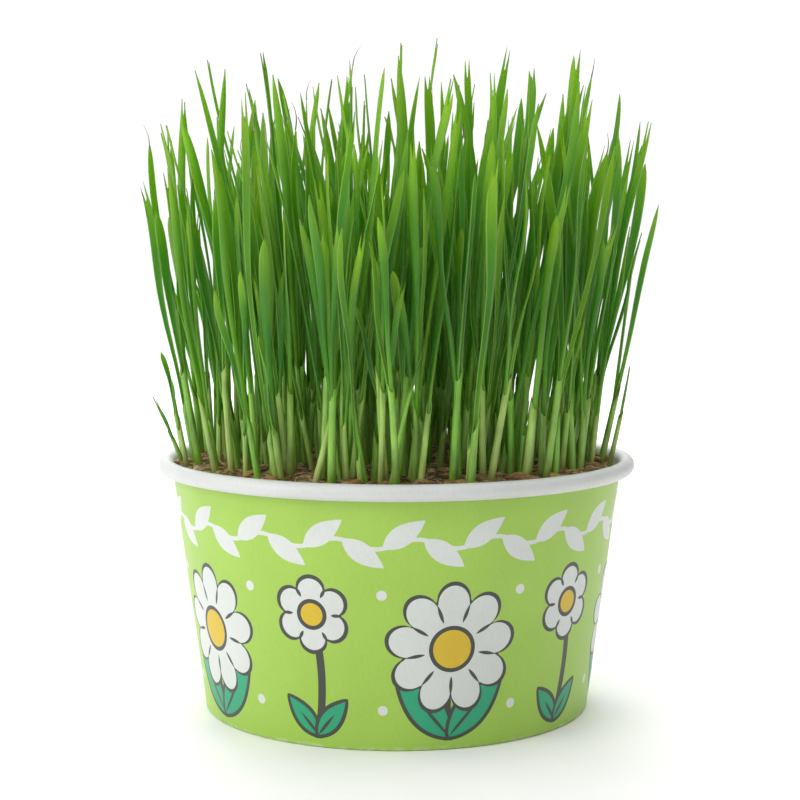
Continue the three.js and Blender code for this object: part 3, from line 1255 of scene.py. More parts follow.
@dataclass
class GrassStand:
    """The tufts of grass: rolled and opened blades out of pale sheaths, with a few withered tips."""

    rule: GrowthRule = field(default_factory=GrowthRule)
    detail_seed: int = 4711
    across: tuple[float, ...] = (-1.0, -0.62, -0.22, 0.0, 0.22, 0.62, 1.0)
    stations: int = 18
    tuck: float = 0.9
    tip_crowding: float = 1.9
    tip_power: Span = (8.0, 26.0)
    wave: Span = (0.05, 0.4)
    wave_count: float = 1.3
    sway: Span = (0.003, 0.017)
    neck_roll: float = 3.8
    opening: Span = (0.1, 0.85)
    foot_width: float = 0.72
    slim: float = 0.84
    fold: Span = (0.3, 1.6)
    edge_thickness: float = 0.12
    rib_thickness: float = 0.42
    rib_power: float = 0.8
    thinnest: float = 0.3
    least_width: float = 0.3
    root_depth: float = 2.5
    sheath_sides: int = 10
    sheath_steps: int = 6
    sheath_slant: Span = (0.8, 2.2)
    sheath_wall: float = 0.14
    stem_least: float = 0.42
    stem_growth: float = 0.48
    stem_foot: float = 1.06
    stem_taper: float = 0.2
    mouth_depth: float = 1.2
    mouth_shade: float = 0.9
    torn_share: float = 0.34
    torn_at: float = 0.91
    torn_from: float = 0.8
    prong: Span = (0.5, 4.0)
    notch: Span = (-3.0, -0.5)
    torn_edge: Span = (-4.5, -1.5)
    dry_from: float = 0.95
    dry_share: float = 0.14
    whisker_share: float = 0.12
    whisker_rise: float = 72.0
    whisker_length: Span = (2.5, 5.5)
    whisker_radius: float = 0.15
    whisker_taper: float = 0.75
    whisker_curl: Span = (-0.35, 0.35)
    whisker_droop: float = 0.05
    whisker_tuck: float = 0.25
    whisker_steps: int = 7
    whisker_sides: int = 4
    withered: Stops = ((0.0, "6f5f45"), (0.5, "a59a80"), (1.0, "cfc8b4"))

    def blade_form(self, draw: Draw) -> BladeForm:
        """Draws a blade's form. Some blades are torn off short of their tips.

        Args:
            draw: The draws to use.

        Returns:
            The form.
        """
        fold = draw(*self.fold)
        sway = draw(*self.sway)
        wave = draw(*self.wave)
        phase = draw(0.0, TURN)
        tip = draw(*self.tip_power)
        torn = draw(0.0, 1.0) < self.torn_share
        parts = (self.torn_edge, self.prong, self.notch, self.notch, self.notch, self.prong, self.torn_edge)
        teeth = np.array([draw(*part) for part in parts])
        if torn:
            return BladeForm(fold, sway, wave, phase, tip, self.torn_at, teeth)
        return BladeForm(fold, sway, wave, phase, tip, 1.0, np.zeros_like(teeth))

    def blade_rings(self, leaf: Leaf, form: BladeForm) -> tuple[np.ndarray, dict[str, np.ndarray]]:
        """Shapes one blade: a thin sheet, rolled where it leaves the sheath and opened above.

        Args:
            leaf: The leaf's middle line and width.
            form: What the blade has of its own.

        Returns:
            Rings of points round the blade, and the shader's numbers on them.
        """
        mouth = leaf.sheath / leaf.rise
        low = mouth * self.tuck
        pace = 1.0 - (1.0 - np.linspace(0.0, 1.0, self.stations)) ** self.tip_crowding
        share = low + (1.0 - low) * pace
        blade = leaf.blade_share(share)
        opening = smoothstep(blade, *self.opening)
        narrowing = 1.0 - (form.cut * blade) ** form.tip
        width = 2.0 * self.slim * leaf.half * blend(self.foot_width, 1.0, opening) * narrowing
        width = np.maximum(width, self.least_width)
        roll = blend(self.neck_roll, form.fold, opening)
        radius = (width / roll)[:, None]
        place = np.array(self.across)[None, :]
        angle = place * roll[:, None] / 2.0
        middle = (np.sin(roll / 2.0) / (roll / 2.0))[:, None]
        sheet = np.stack([radius * np.sin(angle), radius * (middle - np.cos(angle))], axis=-1)
        inward = np.stack([-np.sin(angle), np.cos(angle)], axis=-1)
        rib = 1.0 - np.abs(place) ** self.rib_power
        narrow = np.clip(width / leaf.half, self.thinnest, 1.0)[:, None]
        half_thick = (blend(self.edge_thickness, self.rib_thickness, rib) * narrow / 2.0)[..., None]
        depth = inward * half_thick
        section = np.concatenate([sheet + depth, (sheet - depth)[:, ::-1]], axis=1)
        middle_line = leaf.points(share)
        swing = TURN * self.wave_count * share + form.phase
        swayed = form.sway * leaf.rise * blade
        middle_line[:, 0] += swayed * np.sin(swing)
        middle_line[:, 1] += swayed * np.cos(swing)
        way = np.gradient(middle_line, axis=0)
        way /= np.linalg.norm(way, axis=1, keepdims=True)
        turn = leaf.turn + leaf.twist * share + form.wave * np.sin(swing)
        wide = np.stack([np.cos(turn), np.sin(turn), np.zeros_like(turn)], axis=-1)
        wide -= way * np.sum(wide * way, axis=1, keepdims=True)
        wide /= np.linalg.norm(wide, axis=1, keepdims=True)
        deep = np.cross(wide, way)
        rings = middle_line[:, None] + section[..., :1] * wide[:, None] + section[..., 1:] * deep[:, None]
        tear = np.clip((blade - self.torn_from) / (1.0 - self.torn_from), 0.0, 1.0) ** 2
        teeth = np.concatenate([form.teeth, form.teeth[::-1]])
        rings += tear[:, None, None] * teeth[None, :, None] * way[:, None]
        both = np.concatenate([place, place[:, ::-1]], axis=1)
        dry = smoothstep(blade, self.dry_from, 1.0)
        return rings, {"along": blade, "across": np.broadcast_to(both, rings.shape[:2]), "dry": dry}

    def sheath_rings(self, leaf: Leaf, slant: float) -> tuple[np.ndarray, dict[str, np.ndarray]]:
        """Shapes the sheath round a shoot's foot, with a slanting open mouth.

        Args:
            leaf: The shoot's first leaf.
            slant: How far the mouth rises from its low side to its high one.

        Returns:
            Rings of points round the sheath, and the shader's numbers on them.
        """
        angles = ring(self.sheath_sides)
        heights = np.linspace(-self.root_depth, leaf.sheath, self.sheath_steps)
        climb = np.clip(heights / leaf.sheath, 0.0, 1.0)
        size = self.stem_least + self.stem_growth * leaf.half / self.rule.half_width[0]
        radii = leaf.STEM_RADIUS * size * (self.stem_foot - self.stem_taper * climb)
        heights = np.append(heights, [leaf.sheath, leaf.sheath - self.mouth_depth])
        radii = np.append(radii, [radii[-1] - self.sheath_wall, radii[-1] - 2.0 * self.sheath_wall])
        lifts = np.append(climb**2, [1.0, 1.0])
        tall = heights[:, None] + slant * lifts[:, None] * np.cos(angles - leaf.turn)[None, :]
        places = leaf.points(tall.reshape(-1) / leaf.rise).reshape(*tall.shape, 3)
        places[..., 0] += radii[:, None] * np.cos(angles)
        places[..., 1] += radii[:, None] * np.sin(angles)
        along = np.append(climb, [1.0, self.mouth_shade])
        return places, {"along": along, "across": np.broadcast_to(angles, tall.shape)}

    def whisker_rings(self, blade: np.ndarray, length: float, draw: Draw) -> np.ndarray:
        """Shapes the thin withered end of a blade.

        Args:
            blade: The blade's rings.
            length: How long it is.
            draw: The draws to use for its curl.

        Returns:
            Rings of points round it.
        """
        ends = blade[-2:].mean(axis=1)
        way = ends[1] - ends[0]
        way /= np.linalg.norm(way)
        curl = np.array([draw(*self.whisker_curl), draw(*self.whisker_curl), -self.whisker_droop])
        share = np.linspace(-self.whisker_tuck, 1.0, self.whisker_steps)
        line = ends[1] + length * (share[:, None] * way + np.maximum(share, 0.0)[:, None] ** 2 * curl)
        radius = self.whisker_radius * (1.0 - self.whisker_taper * np.clip(share, 0.0, 1.0))
        circle = level_ring(1.0, 0.0, ring(self.whisker_sides))
        return line[:, None] + radius[:, None, None] * circle[None]

    def grow(self) -> list[Leaf]:
        """Grows all leaves, first by the rule and then in between.

        Returns:
            The leaves.
        """
        leaves = self.rule.grow()
        LateGrowth(self.rule).grow(leaves)
        return leaves

    def build(self, leaves: Sequence[Leaf]) -> None:
        """Makes one piece for each tuft, in the place of its solid.

        Args:
            leaves: The grass, as it has grown.
        """
        materials = [
            LeafFinish().make(),
            SheathFinish().make(),
            StrawFinish("withered_tip", self.withered).make(),
        ]
        draw = Draw(self.detail_seed)
        drafts = [MeshDraft() for _ in self.rule.centres()]
        for leaf in leaves:
            draft = drafts[leaf.shoot.tuft]
            tint = draw(0.0, 1.0)
            form = self.blade_form(draw)
            rings, numbers = self.blade_rings(leaf, form)
            whole = form.cut == 1.0
            numbers["dry"] *= whole * max(draw(self.dry_share - 1.0, self.dry_share), 0.0) / self.dry_share
            draft.add_tube(rings, 0, tint=np.full(len(rings), tint), **numbers)
            if whole and leaf.rise > self.whisker_rise and draw(0.0, 1.0) < self.whisker_share:
                whisker = self.whisker_rings(rings, draw(*self.whisker_length), draw)
                draft.add_tube(whisker, 2, tint=np.full(len(whisker), draw(0.0, 1.0)))
            if leaf.sheath:
                rings, numbers = self.sheath_rings(leaf, draw(*self.sheath_slant))
                draft.add_tube(rings, 1, tint=np.full(len(rings), draw(0.0, 1.0)), **numbers)
        for number, draft in enumerate(drafts, start=1):
            piece = draft.make(f"grass_bunch_{number:02d}", materials)
            enter(piece, "grass", f"grass_tuft_{number:02d}")


@dataclass
class CoirBed:
    """The coir that fills the cup: a lumpy bed with fibres, crumbs, grains, husks and root hairs on it."""

    seed: int = 977
    top: float = 59.5
    bottom: float = 8.2
    gap: float = 0.3
    edge_drop: float = 2.0
    edge_width: float = 3.5
    rings: int = 46
    side_rings: int = 8
    middle_share: float = 0.02
    segments: int = 144
    lump_size: float = 4.5
    lump_height: float = 0.9
    lump_fractal: tuple[float, float, int] = (1.0, 2.0, 4)
    edge_calm: float = 0.5
    fibres: int = 2600
    fibre_length: Span = (5.0, 15.0)
    fibre_radius: Span = (0.06, 0.13)
    hairs: int = 420
    hair_length: Span = (3.0, 8.0)
    hair_radius: Span = (0.03, 0.06)
    fibre_arch: float = 0.1
    hair_arch: float = 0.22
    strand_steps: int = 7
    strand_sides: int = 4
    strand_bend: Span = (-0.5, 0.5)
    strand_lift: Span = (0.1, 1.0)
    strand_level: Span = (-0.1, 0.15)
    strand_taper: float = 0.6
    crumbs: int = 420
    crumb_radius: Span = (0.5, 1.3)
    crumb_shares: tuple[Span, ...] = ((0.8, 1.5), (0.7, 1.1), (0.5, 0.9))
    crumb_crease: Span = (0.1, 0.4)
    grain_share: float = 0.55
    grain_offset: float = 1.5
    grain_length: Span = (5.5, 7.0)
    grain_half_width: Span = (1.1, 1.4)
    grain_half_height: Span = (0.95, 1.2)
    grain_crease: float = 0.35
    husk_half_width: Span = (0.9, 1.3)
    husk_half_height: Span = (0.35, 0.55)
    husk_crease: float = 0.7
    pebble_sides: int = 10
    pebble_steps: int = 9
    pebble_end: float = 0.2
    pebble_swell: float = 0.12
    groove_width: float = 0.35
    husks: int = 50
    edge_husks: int = 16
    edge_reach: float = 7.0
    clearance: float = 2.5
    sunk: Span = (-0.1, 0.6)
    pitch: float = 0.3
    fibre_browns: Stops = ((0.0, "544126"), (0.45, "927648"), (0.8, "c0a66e"), (1.0, "ddca9c"))
    hair_whites: Stops = ((0.0, "b9ad94"), (1.0, "ded6c4"))
    grain_browns: Stops = ((0.0, "80603a"), (0.5, "a98656"), (1.0, "c4a474"))
    husk_browns: Stops = ((0.0, "9c7c52"), (0.5, "c0a075"), (1.0, "d8c39c"))

    def surface(self, x: float, y: float, edge: float) -> float:
        """Finds the height of the bed's top.

        Args:
            x: The place along X.
            y: The place along Y.
            edge: The radius of the bed's edge.

        Returns:
            The height.
        """
        lump = noise.fractal(Vector((x, y, 0.0)) / self.lump_size, *self.lump_fractal)
        near = float(smoothstep(np.array(math.hypot(x, y)), edge - self.edge_width, edge))
        return self.top + self.lump_height * lump * (1.0 - self.edge_calm * near) - self.edge_drop * near

    def bed(self, cup: "PaperCup") -> MeshDraft:
        """Shapes the bed itself, closed all round.

        Args:
            cup: The cup that it fills.

        Returns:
            The draft of the bed.
        """
        edge = cup.inner(self.top) - self.gap
        angles = ring(self.segments)
        rows = []
        for radius in np.linspace(self.middle_share, 1.0, self.rings) * edge:
            x = radius * np.cos(angles)
            y = radius * np.sin(angles)
            z = np.array([self.surface(a, b, edge) for a, b in zip(x, y)])
            rows.append(np.stack([x, y, z], axis=-1))
        for height in np.linspace(self.top - 2.0 * self.edge_drop, self.bottom, self.side_rings):
            rows.append(level_ring(cup.inner(height) - self.gap, height, angles))
        draft = MeshDraft()
        draft.add_tube(np.array(rows)[::-1])
        return draft

    def scatter(self, draw: Draw, count: int, reach: Span) -> list[Point]:
        """Draws places on the bed.

        Args:
            draw: The draws to use.
            count: How many there are.
            reach: How near to the middle and how far from it they may be.

        Returns:
            The places.
        """
        found = []
        for _ in range(count):
            radius = math.sqrt(draw(reach[0] ** 2, reach[1] ** 2))
            angle = draw(0.0, TURN)
            found.append((radius * math.cos(angle), radius * math.sin(angle)))
        return found

    def strands(
        self, draw: Draw, edge: float, count: int, lengths: Span, radii: Span, arch: float
    ) -> MeshDraft:
        """Lays fine strands on the bed, each arched and curled a little.

        Args:
            draw: The draws to use.
            edge: How far from the middle they may lie.
            count: How many there are.
            lengths: Their shortest and longest length.
            radii: Their thinnest and thickest radius.
            arch: How high their middles rise, as a share of the length.

        Returns:
            The draft of the strands.
        """
        draft = MeshDraft()
        share = np.linspace(-0.5, 0.5, self.strand_steps)
        angles = ring(self.strand_sides)
        for _ in range(count):
            length = draw(*lengths)
            x, y = self.scatter(draw, 1, (0.0, edge - 0.5 * length))[0]
            heading = draw(0.0, TURN)
            bend = draw(*self.strand_bend) * length
            lift = draw(*self.strand_lift) * arch * length
            way = np.array([math.cos(heading), math.sin(heading)])
            side = np.array([-way[1], way[0]])
            flat = np.array([x, y]) + length * share[:, None] * way + bend * share[:, None] ** 2 * side
            base = np.array([self.surface(a, b, edge) for a, b in flat])
            height = base + lift * (1.0 - (2.0 * share) ** 2) + draw(*self.strand_level)
            line = np.column_stack([flat, height])
            radius = draw(*radii) * (1.0 - self.strand_taper * np.abs(2.0 * share) ** 3)
            level = np.cos(angles)[:, None] * np.append(side, 0.0)
            circle = level + np.sin(angles)[:, None] * np.array([0.0, 0.0, 1.0])
            rings = line[:, None] + radius[:, None, None] * circle[None]
            draft.add_tube(rings[:, ::-1], tint=np.full(len(rings), draw(0.0, 1.0)))
        return draft

    def pebble(
        self, place: np.ndarray, size: np.ndarray, heading: float, pitch: float, crease: float
    ) -> np.ndarray:
        """Shapes a small rounded body, such as a crumb or a grain.

        Args:
            place: Where its middle is.
            size: Its half length, half width and half height.
            heading: Which way it points.
            pitch: How far its front is tipped up.
            crease: How deep the groove along its top is, as a share of its height.

        Returns:
            Rings of points round its length.
        """
        share = np.cos(np.linspace(math.pi - self.pebble_end, self.pebble_end, self.pebble_steps))
        girth = np.sqrt(1.0 - share**2) * (1.0 + self.pebble_swell * share)
        angles = ring(self.pebble_sides)
        groove = 1.0 - crease * np.exp(-((angles - math.pi / 2.0) / self.groove_width) ** 2)
        long = size[0] * share[:, None] * np.ones(self.pebble_sides)
        wide = size[1] * girth[:, None] * np.cos(angles) * groove
        high = size[2] * girth[:, None] * np.sin(angles) * groove
        ahead = long * math.cos(pitch) - high * math.sin(pitch)
        up = long * math.sin(pitch) + high * math.cos(pitch)
        x = place[0] + ahead * math.cos(heading) - wide * math.sin(heading)
        y = place[1] + ahead * math.sin(heading) + wide * math.cos(heading)
        return np.stack([x, y, place[2] + up], axis=-1)

    def bodies(
        self,
        draw: Draw,
        edge: float,
        places: Sequence[Point],
        shape: Callable[[Draw], tuple[np.ndarray, float]],
    ) -> MeshDraft:
        """Lays small rounded bodies on the bed, half sunk in it.

        Args:
            draw: The draws to use.
            edge: The radius of the bed's edge.
            places: Where they lie.
            shape: Draws the half sizes of one body and the depth of its crease.

        Returns:
            The draft of the bodies.
        """
        draft = MeshDraft()
        for x, y in places:
            size, crease = shape(draw)
            place = np.array([x, y, self.surface(x, y, edge) + draw(*self.sunk) * size[2]])
            rings = self.pebble(place, size, draw(0.0, TURN), draw(-self.pitch, self.pitch), crease)
            draft.add_tube(rings, tint=np.full(len(rings), draw(0.0, 1.0)))
        return draft

    def crumb_shape(self, draw: Draw) -> tuple[np.ndarray, float]:
        """Draws the half sizes of a crumb and the depth of its crease."""
        radius = draw(*self.crumb_radius)
        return radius * np.array([draw(*share) for share in self.crumb_shares]), draw(*self.crumb_crease)

    def grain_shape(self, draw: Draw) -> tuple[np.ndarray, float]:
        """Draws the form of a cereal grain.

        Args:
            draw: The draws to use.

        Returns:
            Its half sizes and the depth of the crease along it.
        """
        half = 0.5 * draw(*self.grain_length)
        size = np.array([half, draw(*self.grain_half_width), draw(*self.grain_half_height)])
        return size, self.grain_crease

    def husk_shape(self, draw: Draw) -> tuple[np.ndarray, float]:
        """Draws the half sizes of an empty husk, flat and deeply creased."""
        half = 0.5 * draw(*self.grain_length)
        return np.array([half, draw(*self.husk_half_width), draw(*self.husk_half_height)]), self.husk_crease

    def grain_places(self, draw: Draw, leaves: Sequence[Leaf]) -> list[Point]:
        """Draws which shoots still have their grain, and on which side of the foot it lies.

        Args:
            draw: The draws to use.
            leaves: The grass that grows from the bed.

        Returns:
            The places of the grains.
        """
        found = []
        for leaf in leaves:
            angle = draw(0.0, TURN)
            if leaf.sheath and draw(0.0, 1.0) < self.grain_share:
                x = leaf.root[0] + self.grain_offset * math.cos(angle)
                found.append((x, leaf.root[1] + self.grain_offset * math.sin(angle)))
        return found

    def build(self, cup: "PaperCup", leaves: Sequence[Leaf]) -> None:
        """Makes the bed and what lies on it.

        Args:
            cup: The cup that it fills.
            leaves: The grass that grows from it.
        """
        draw = Draw(self.seed)
        edge = cup.inner(self.top) - self.gap
        coir = CoirFinish().make()
        fibre = StrawFinish("coir_fibre", self.fibre_browns).make()
        hair = StrawFinish("root_hair", self.hair_whites).make()
        grain = StrawFinish("cereal_grain", self.grain_browns).make()
        husk = StrawFinish("seed_husk", self.husk_browns).make()
        enter(self.bed(cup).make("coir_bed", [coir]), "coir", "soil")
        fibres = self.strands(draw, edge, self.fibres, self.fibre_length, self.fibre_radius, self.fibre_arch)
        enter(fibres.make("coir_fibres", [fibre]), "coir")
        hairs = self.strands(draw, edge, self.hairs, self.hair_length, self.hair_radius, self.hair_arch)
        enter(hairs.make("root_hairs", [hair]), "coir")
        limit = edge - self.clearance
        crumbs = self.bodies(draw, edge, self.scatter(draw, self.crumbs, (0.0, limit)), self.crumb_shape)
        enter(crumbs.make("coir_crumbs", [coir]), "coir")
        grains = self.bodies(draw, edge, self.grain_places(draw, leaves), self.grain_shape)
        enter(grains.make("cereal_grains", [grain]), "coir")
        loose = self.scatter(draw, self.husks, (0.0, limit))
        loose += self.scatter(draw, self.edge_husks, (limit - self.edge_reach, limit))
        enter(self.bodies(draw, edge, loose, self.husk_shape).make("seed_husks", [husk]), "coir")


@dataclass(frozen=True)
class Patch:
    """A closed outline in the unrolled wall, as places along the wall and heights, and its ink."""

    ink: Ink
    outline: np.ndarray


@dataclass
class FlowerPrint:
    """The print: daisies on short stems round the wall, and a garland of small leaves under the rim."""

    girth: float
    units: int = 5
    first_unit: float = 12.6
    line: float = 0.95
    daisy_height: float = 23.5
    daisy_radius: float = 14.5
    daisy_petals: int = 9
    daisy_eye: float = 4.4
    daisy_sway: float = -0.8
    bud_height: float = 31.0
    bud_radius: float = 8.2
    bud_petals: int = 6
    bud_eye: float = 2.6
    bud_sway: float = 1.6
    foot: float = 2.2
    leaf_length: float = 19.0
    leaf_width: float = 7.2
    leaf_tilt: float = 0.72
    leaf_belly: float = 0.85
    leaf_round: float = 0.9
    petal_valley: float = 0.66
    petal_swell: float = 0.34
    petal_round: float = 0.55
    stem_steps: int = 16
    garland_height: float = 47.5
    garland_pitch: float = 8.6
    garland_leaf: Point = (10.8, 4.6)
    garland_tilt: float = 0.62
    vine_sway: float = 1.1
    crease: Point = (4.6, 0.8)
    rib: float = 0.62
    dot_radius: float = 1.15
    dots: tuple[Point, ...] = ((15.8, 9.5), (15.8, 36.0), (-15.8, 9.5), (-15.8, 36.0))
    seam_margin: float = 5.0
    steps: int = 96

    def circle(self, ink: Ink, s: float, z: float, radius: float) -> Patch:
        """A round spot."""
        angles = ring(self.steps // 2)
        return Patch(ink, np.column_stack([s + radius * np.cos(angles), z + radius * np.sin(angles)]))

    def petals(self, ink: Ink, s: float, z: float, radius: float, count: int, grow: float) -> Patch:
        """A flower's outline, so much larger than drawn.

        Args:
            ink: What it is printed with.
            s: Its middle's place along the wall.
            z: Its middle's height.
            radius: From its middle to a petal's end.
            count: How many petals it has.
            grow: How much is added all round.

        Returns:
            The patch.
        """
        angles = ring(self.steps * 2)
        wave = np.abs(np.cos(0.5 * count * angles)) ** self.petal_round
        reach = radius * (self.petal_valley + self.petal_swell * wave) + grow
        return Patch(ink, np.column_stack([s - reach * np.sin(angles), z + reach * np.cos(angles)]))

    def leaf(self, ink: Ink, s: float, z: float, size: Point, tilt: float, grow: float = 0.0) -> Patch:
        """A pointed leaf's outline, from its foot.

        Args:
            ink: What it is printed with.
            s: Its foot's place along the wall.
            z: Its foot's height.
            size: Its length and width.
            tilt: How far it leans from upright towards the right.
            grow: How much is added all round.

        Returns:
            The patch.
        """
        share = np.linspace(0.0, 1.0, self.steps // 3)
        half = 0.5 * size[1] * np.sin(math.pi * share**self.leaf_belly) ** self.leaf_round
        along = (size[0] + 2.0 * grow) * share - grow
        edge = half + grow * np.sin(math.pi * share) ** 0.5
        right = np.column_stack([edge, along])[1:]
        left = np.column_stack([-edge, along])[1:-1][::-1]
        shape = np.concatenate([[[0.0, -grow]], right[:-1], [[0.0, along[-1]]], left])
        turned = np.column_stack([
            shape[:, 0] * math.cos(tilt) + shape[:, 1] * math.sin(tilt),
            shape[:, 1] * math.cos(tilt) - shape[:, 0] * math.sin(tilt),
        ])
        return Patch(ink, turned + np.array([s, z]))

    def stem(self, s: float, low: float, high: float, sway: float) -> Patch:
        """Draws a thin swaying stem.

        Args:
            s: Its foot's place along the wall.
            low: Where it starts.
            high: Where it ends.
            sway: How far it swings out.

        Returns:
            The patch.
        """
        share = np.linspace(0.0, 1.0, self.stem_steps)
        middle = s + sway * np.sin(math.pi * share)
        height = blend(low, high, share)
        right = np.column_stack([middle + self.line, height])
        left = np.column_stack([middle - self.line, height])[::-1]
        return Patch(Ink.CHARCOAL, np.concatenate([right, left]))

    def flower(self, s: float, z: float, radius: float, petals: int, eye: float, sway: float) -> list[Patch]:
        """A daisy with its stem and its two leaves, from the back to the front.

        Args:
            s: Its middle's place along the wall.
            z: Its middle's height.
            radius: From its middle to a petal's end.
            petals: How many petals it has.
            eye: The radius of its eye.
            sway: How far its stem swings out.

        Returns:
            Its patches.
        """
        scale = radius / self.daisy_radius
        size = (self.leaf_length * scale, self.leaf_width * scale)
        found = [self.stem(s, self.foot, z, sway)]
        for tilt in (-self.leaf_tilt, self.leaf_tilt):
            found.append(self.leaf(Ink.CHARCOAL, s, self.foot + self.line, size, tilt, self.line))
            found.append(self.leaf(Ink.TEAL, s, self.foot + self.line, size, tilt))
            rib = (self.rib * size[0], self.crease[1])
            found.append(self.leaf(Ink.CHARCOAL, s, self.foot + self.line, rib, tilt))
        found.append(self.petals(Ink.CHARCOAL, s, z, radius, petals, self.line))
        found.append(self.petals(Ink.CREAM, s, z, radius, petals, 0.0))
        for i in range(petals):
            tilt = TURN * (i + 0.5) / petals
            reach = eye + 2.0 * self.line
            place = (s + reach * math.sin(tilt), z + reach * math.cos(tilt))
            crease = (self.crease[0] * scale, self.crease[1])
            found.append(self.leaf(Ink.CHARCOAL, *place, crease, tilt))
        found.append(self.circle(Ink.CHARCOAL, s, z, eye + self.line))
        found.append(self.circle(Ink.GOLD, s, z, eye))
        return found

    def patches(self) -> list[Patch]:
        """Lays out the print.

        Returns:
            All its patches, from the back to the front.
        """
        found = []
        pitch = self.girth / self.units
        half = 0.5 * self.girth
        for unit in range(self.units):
            s = self.first_unit + pitch * unit
            between = s + 0.5 * pitch
            large, small = ((place + half) % self.girth - half for place in (s, between))
            bud = (self.bud_height, self.bud_radius, self.bud_petals, self.bud_eye, self.bud_sway)
            daisy = (self.daisy_height, self.daisy_radius, self.daisy_petals, self.daisy_eye, self.daisy_sway)
            found += self.flower(small, *bud)
            found += self.flower(large, *daisy)
            for across, height in self.dots:
                dot = (s + across + half) % self.girth - half
                found.append(self.circle(Ink.CREAM, dot, height, self.dot_radius))
        return found + self.garland()

    def vine_height(self, s: np.ndarray) -> np.ndarray:
        """The height of the garland's vine at places along the wall."""
        return self.garland_height + self.vine_sway * np.sin(math.pi * s / self.garland_pitch)

    def garland(self) -> list[Patch]:
        """Draws a swaying vine round the wall, with a leaf at each bend.

        Returns:
            The patches.
        """
        reach = 0.5 * self.girth - self.seam_margin
        along = np.linspace(-reach, reach, 4 * self.steps)
        height = self.vine_height(along)
        right = np.column_stack([along, height - 0.5 * self.line])
        left = np.column_stack([along, height + 0.5 * self.line])[::-1]
        found = [Patch(Ink.CREAM, np.concatenate([right, left]))]
        count = int((2.0 * reach - self.garland_leaf[0]) / self.garland_pitch)
        for i in range(count):
            s = -reach + self.garland_pitch * (i + 0.5)
            side = 1 if i % 2 else -1
            tilt = 0.5 * math.pi - side * self.garland_tilt
            foot = float(self.vine_height(np.array(s)))
            found.append(self.leaf(Ink.CREAM, s, foot, self.garland_leaf, tilt))
        return found


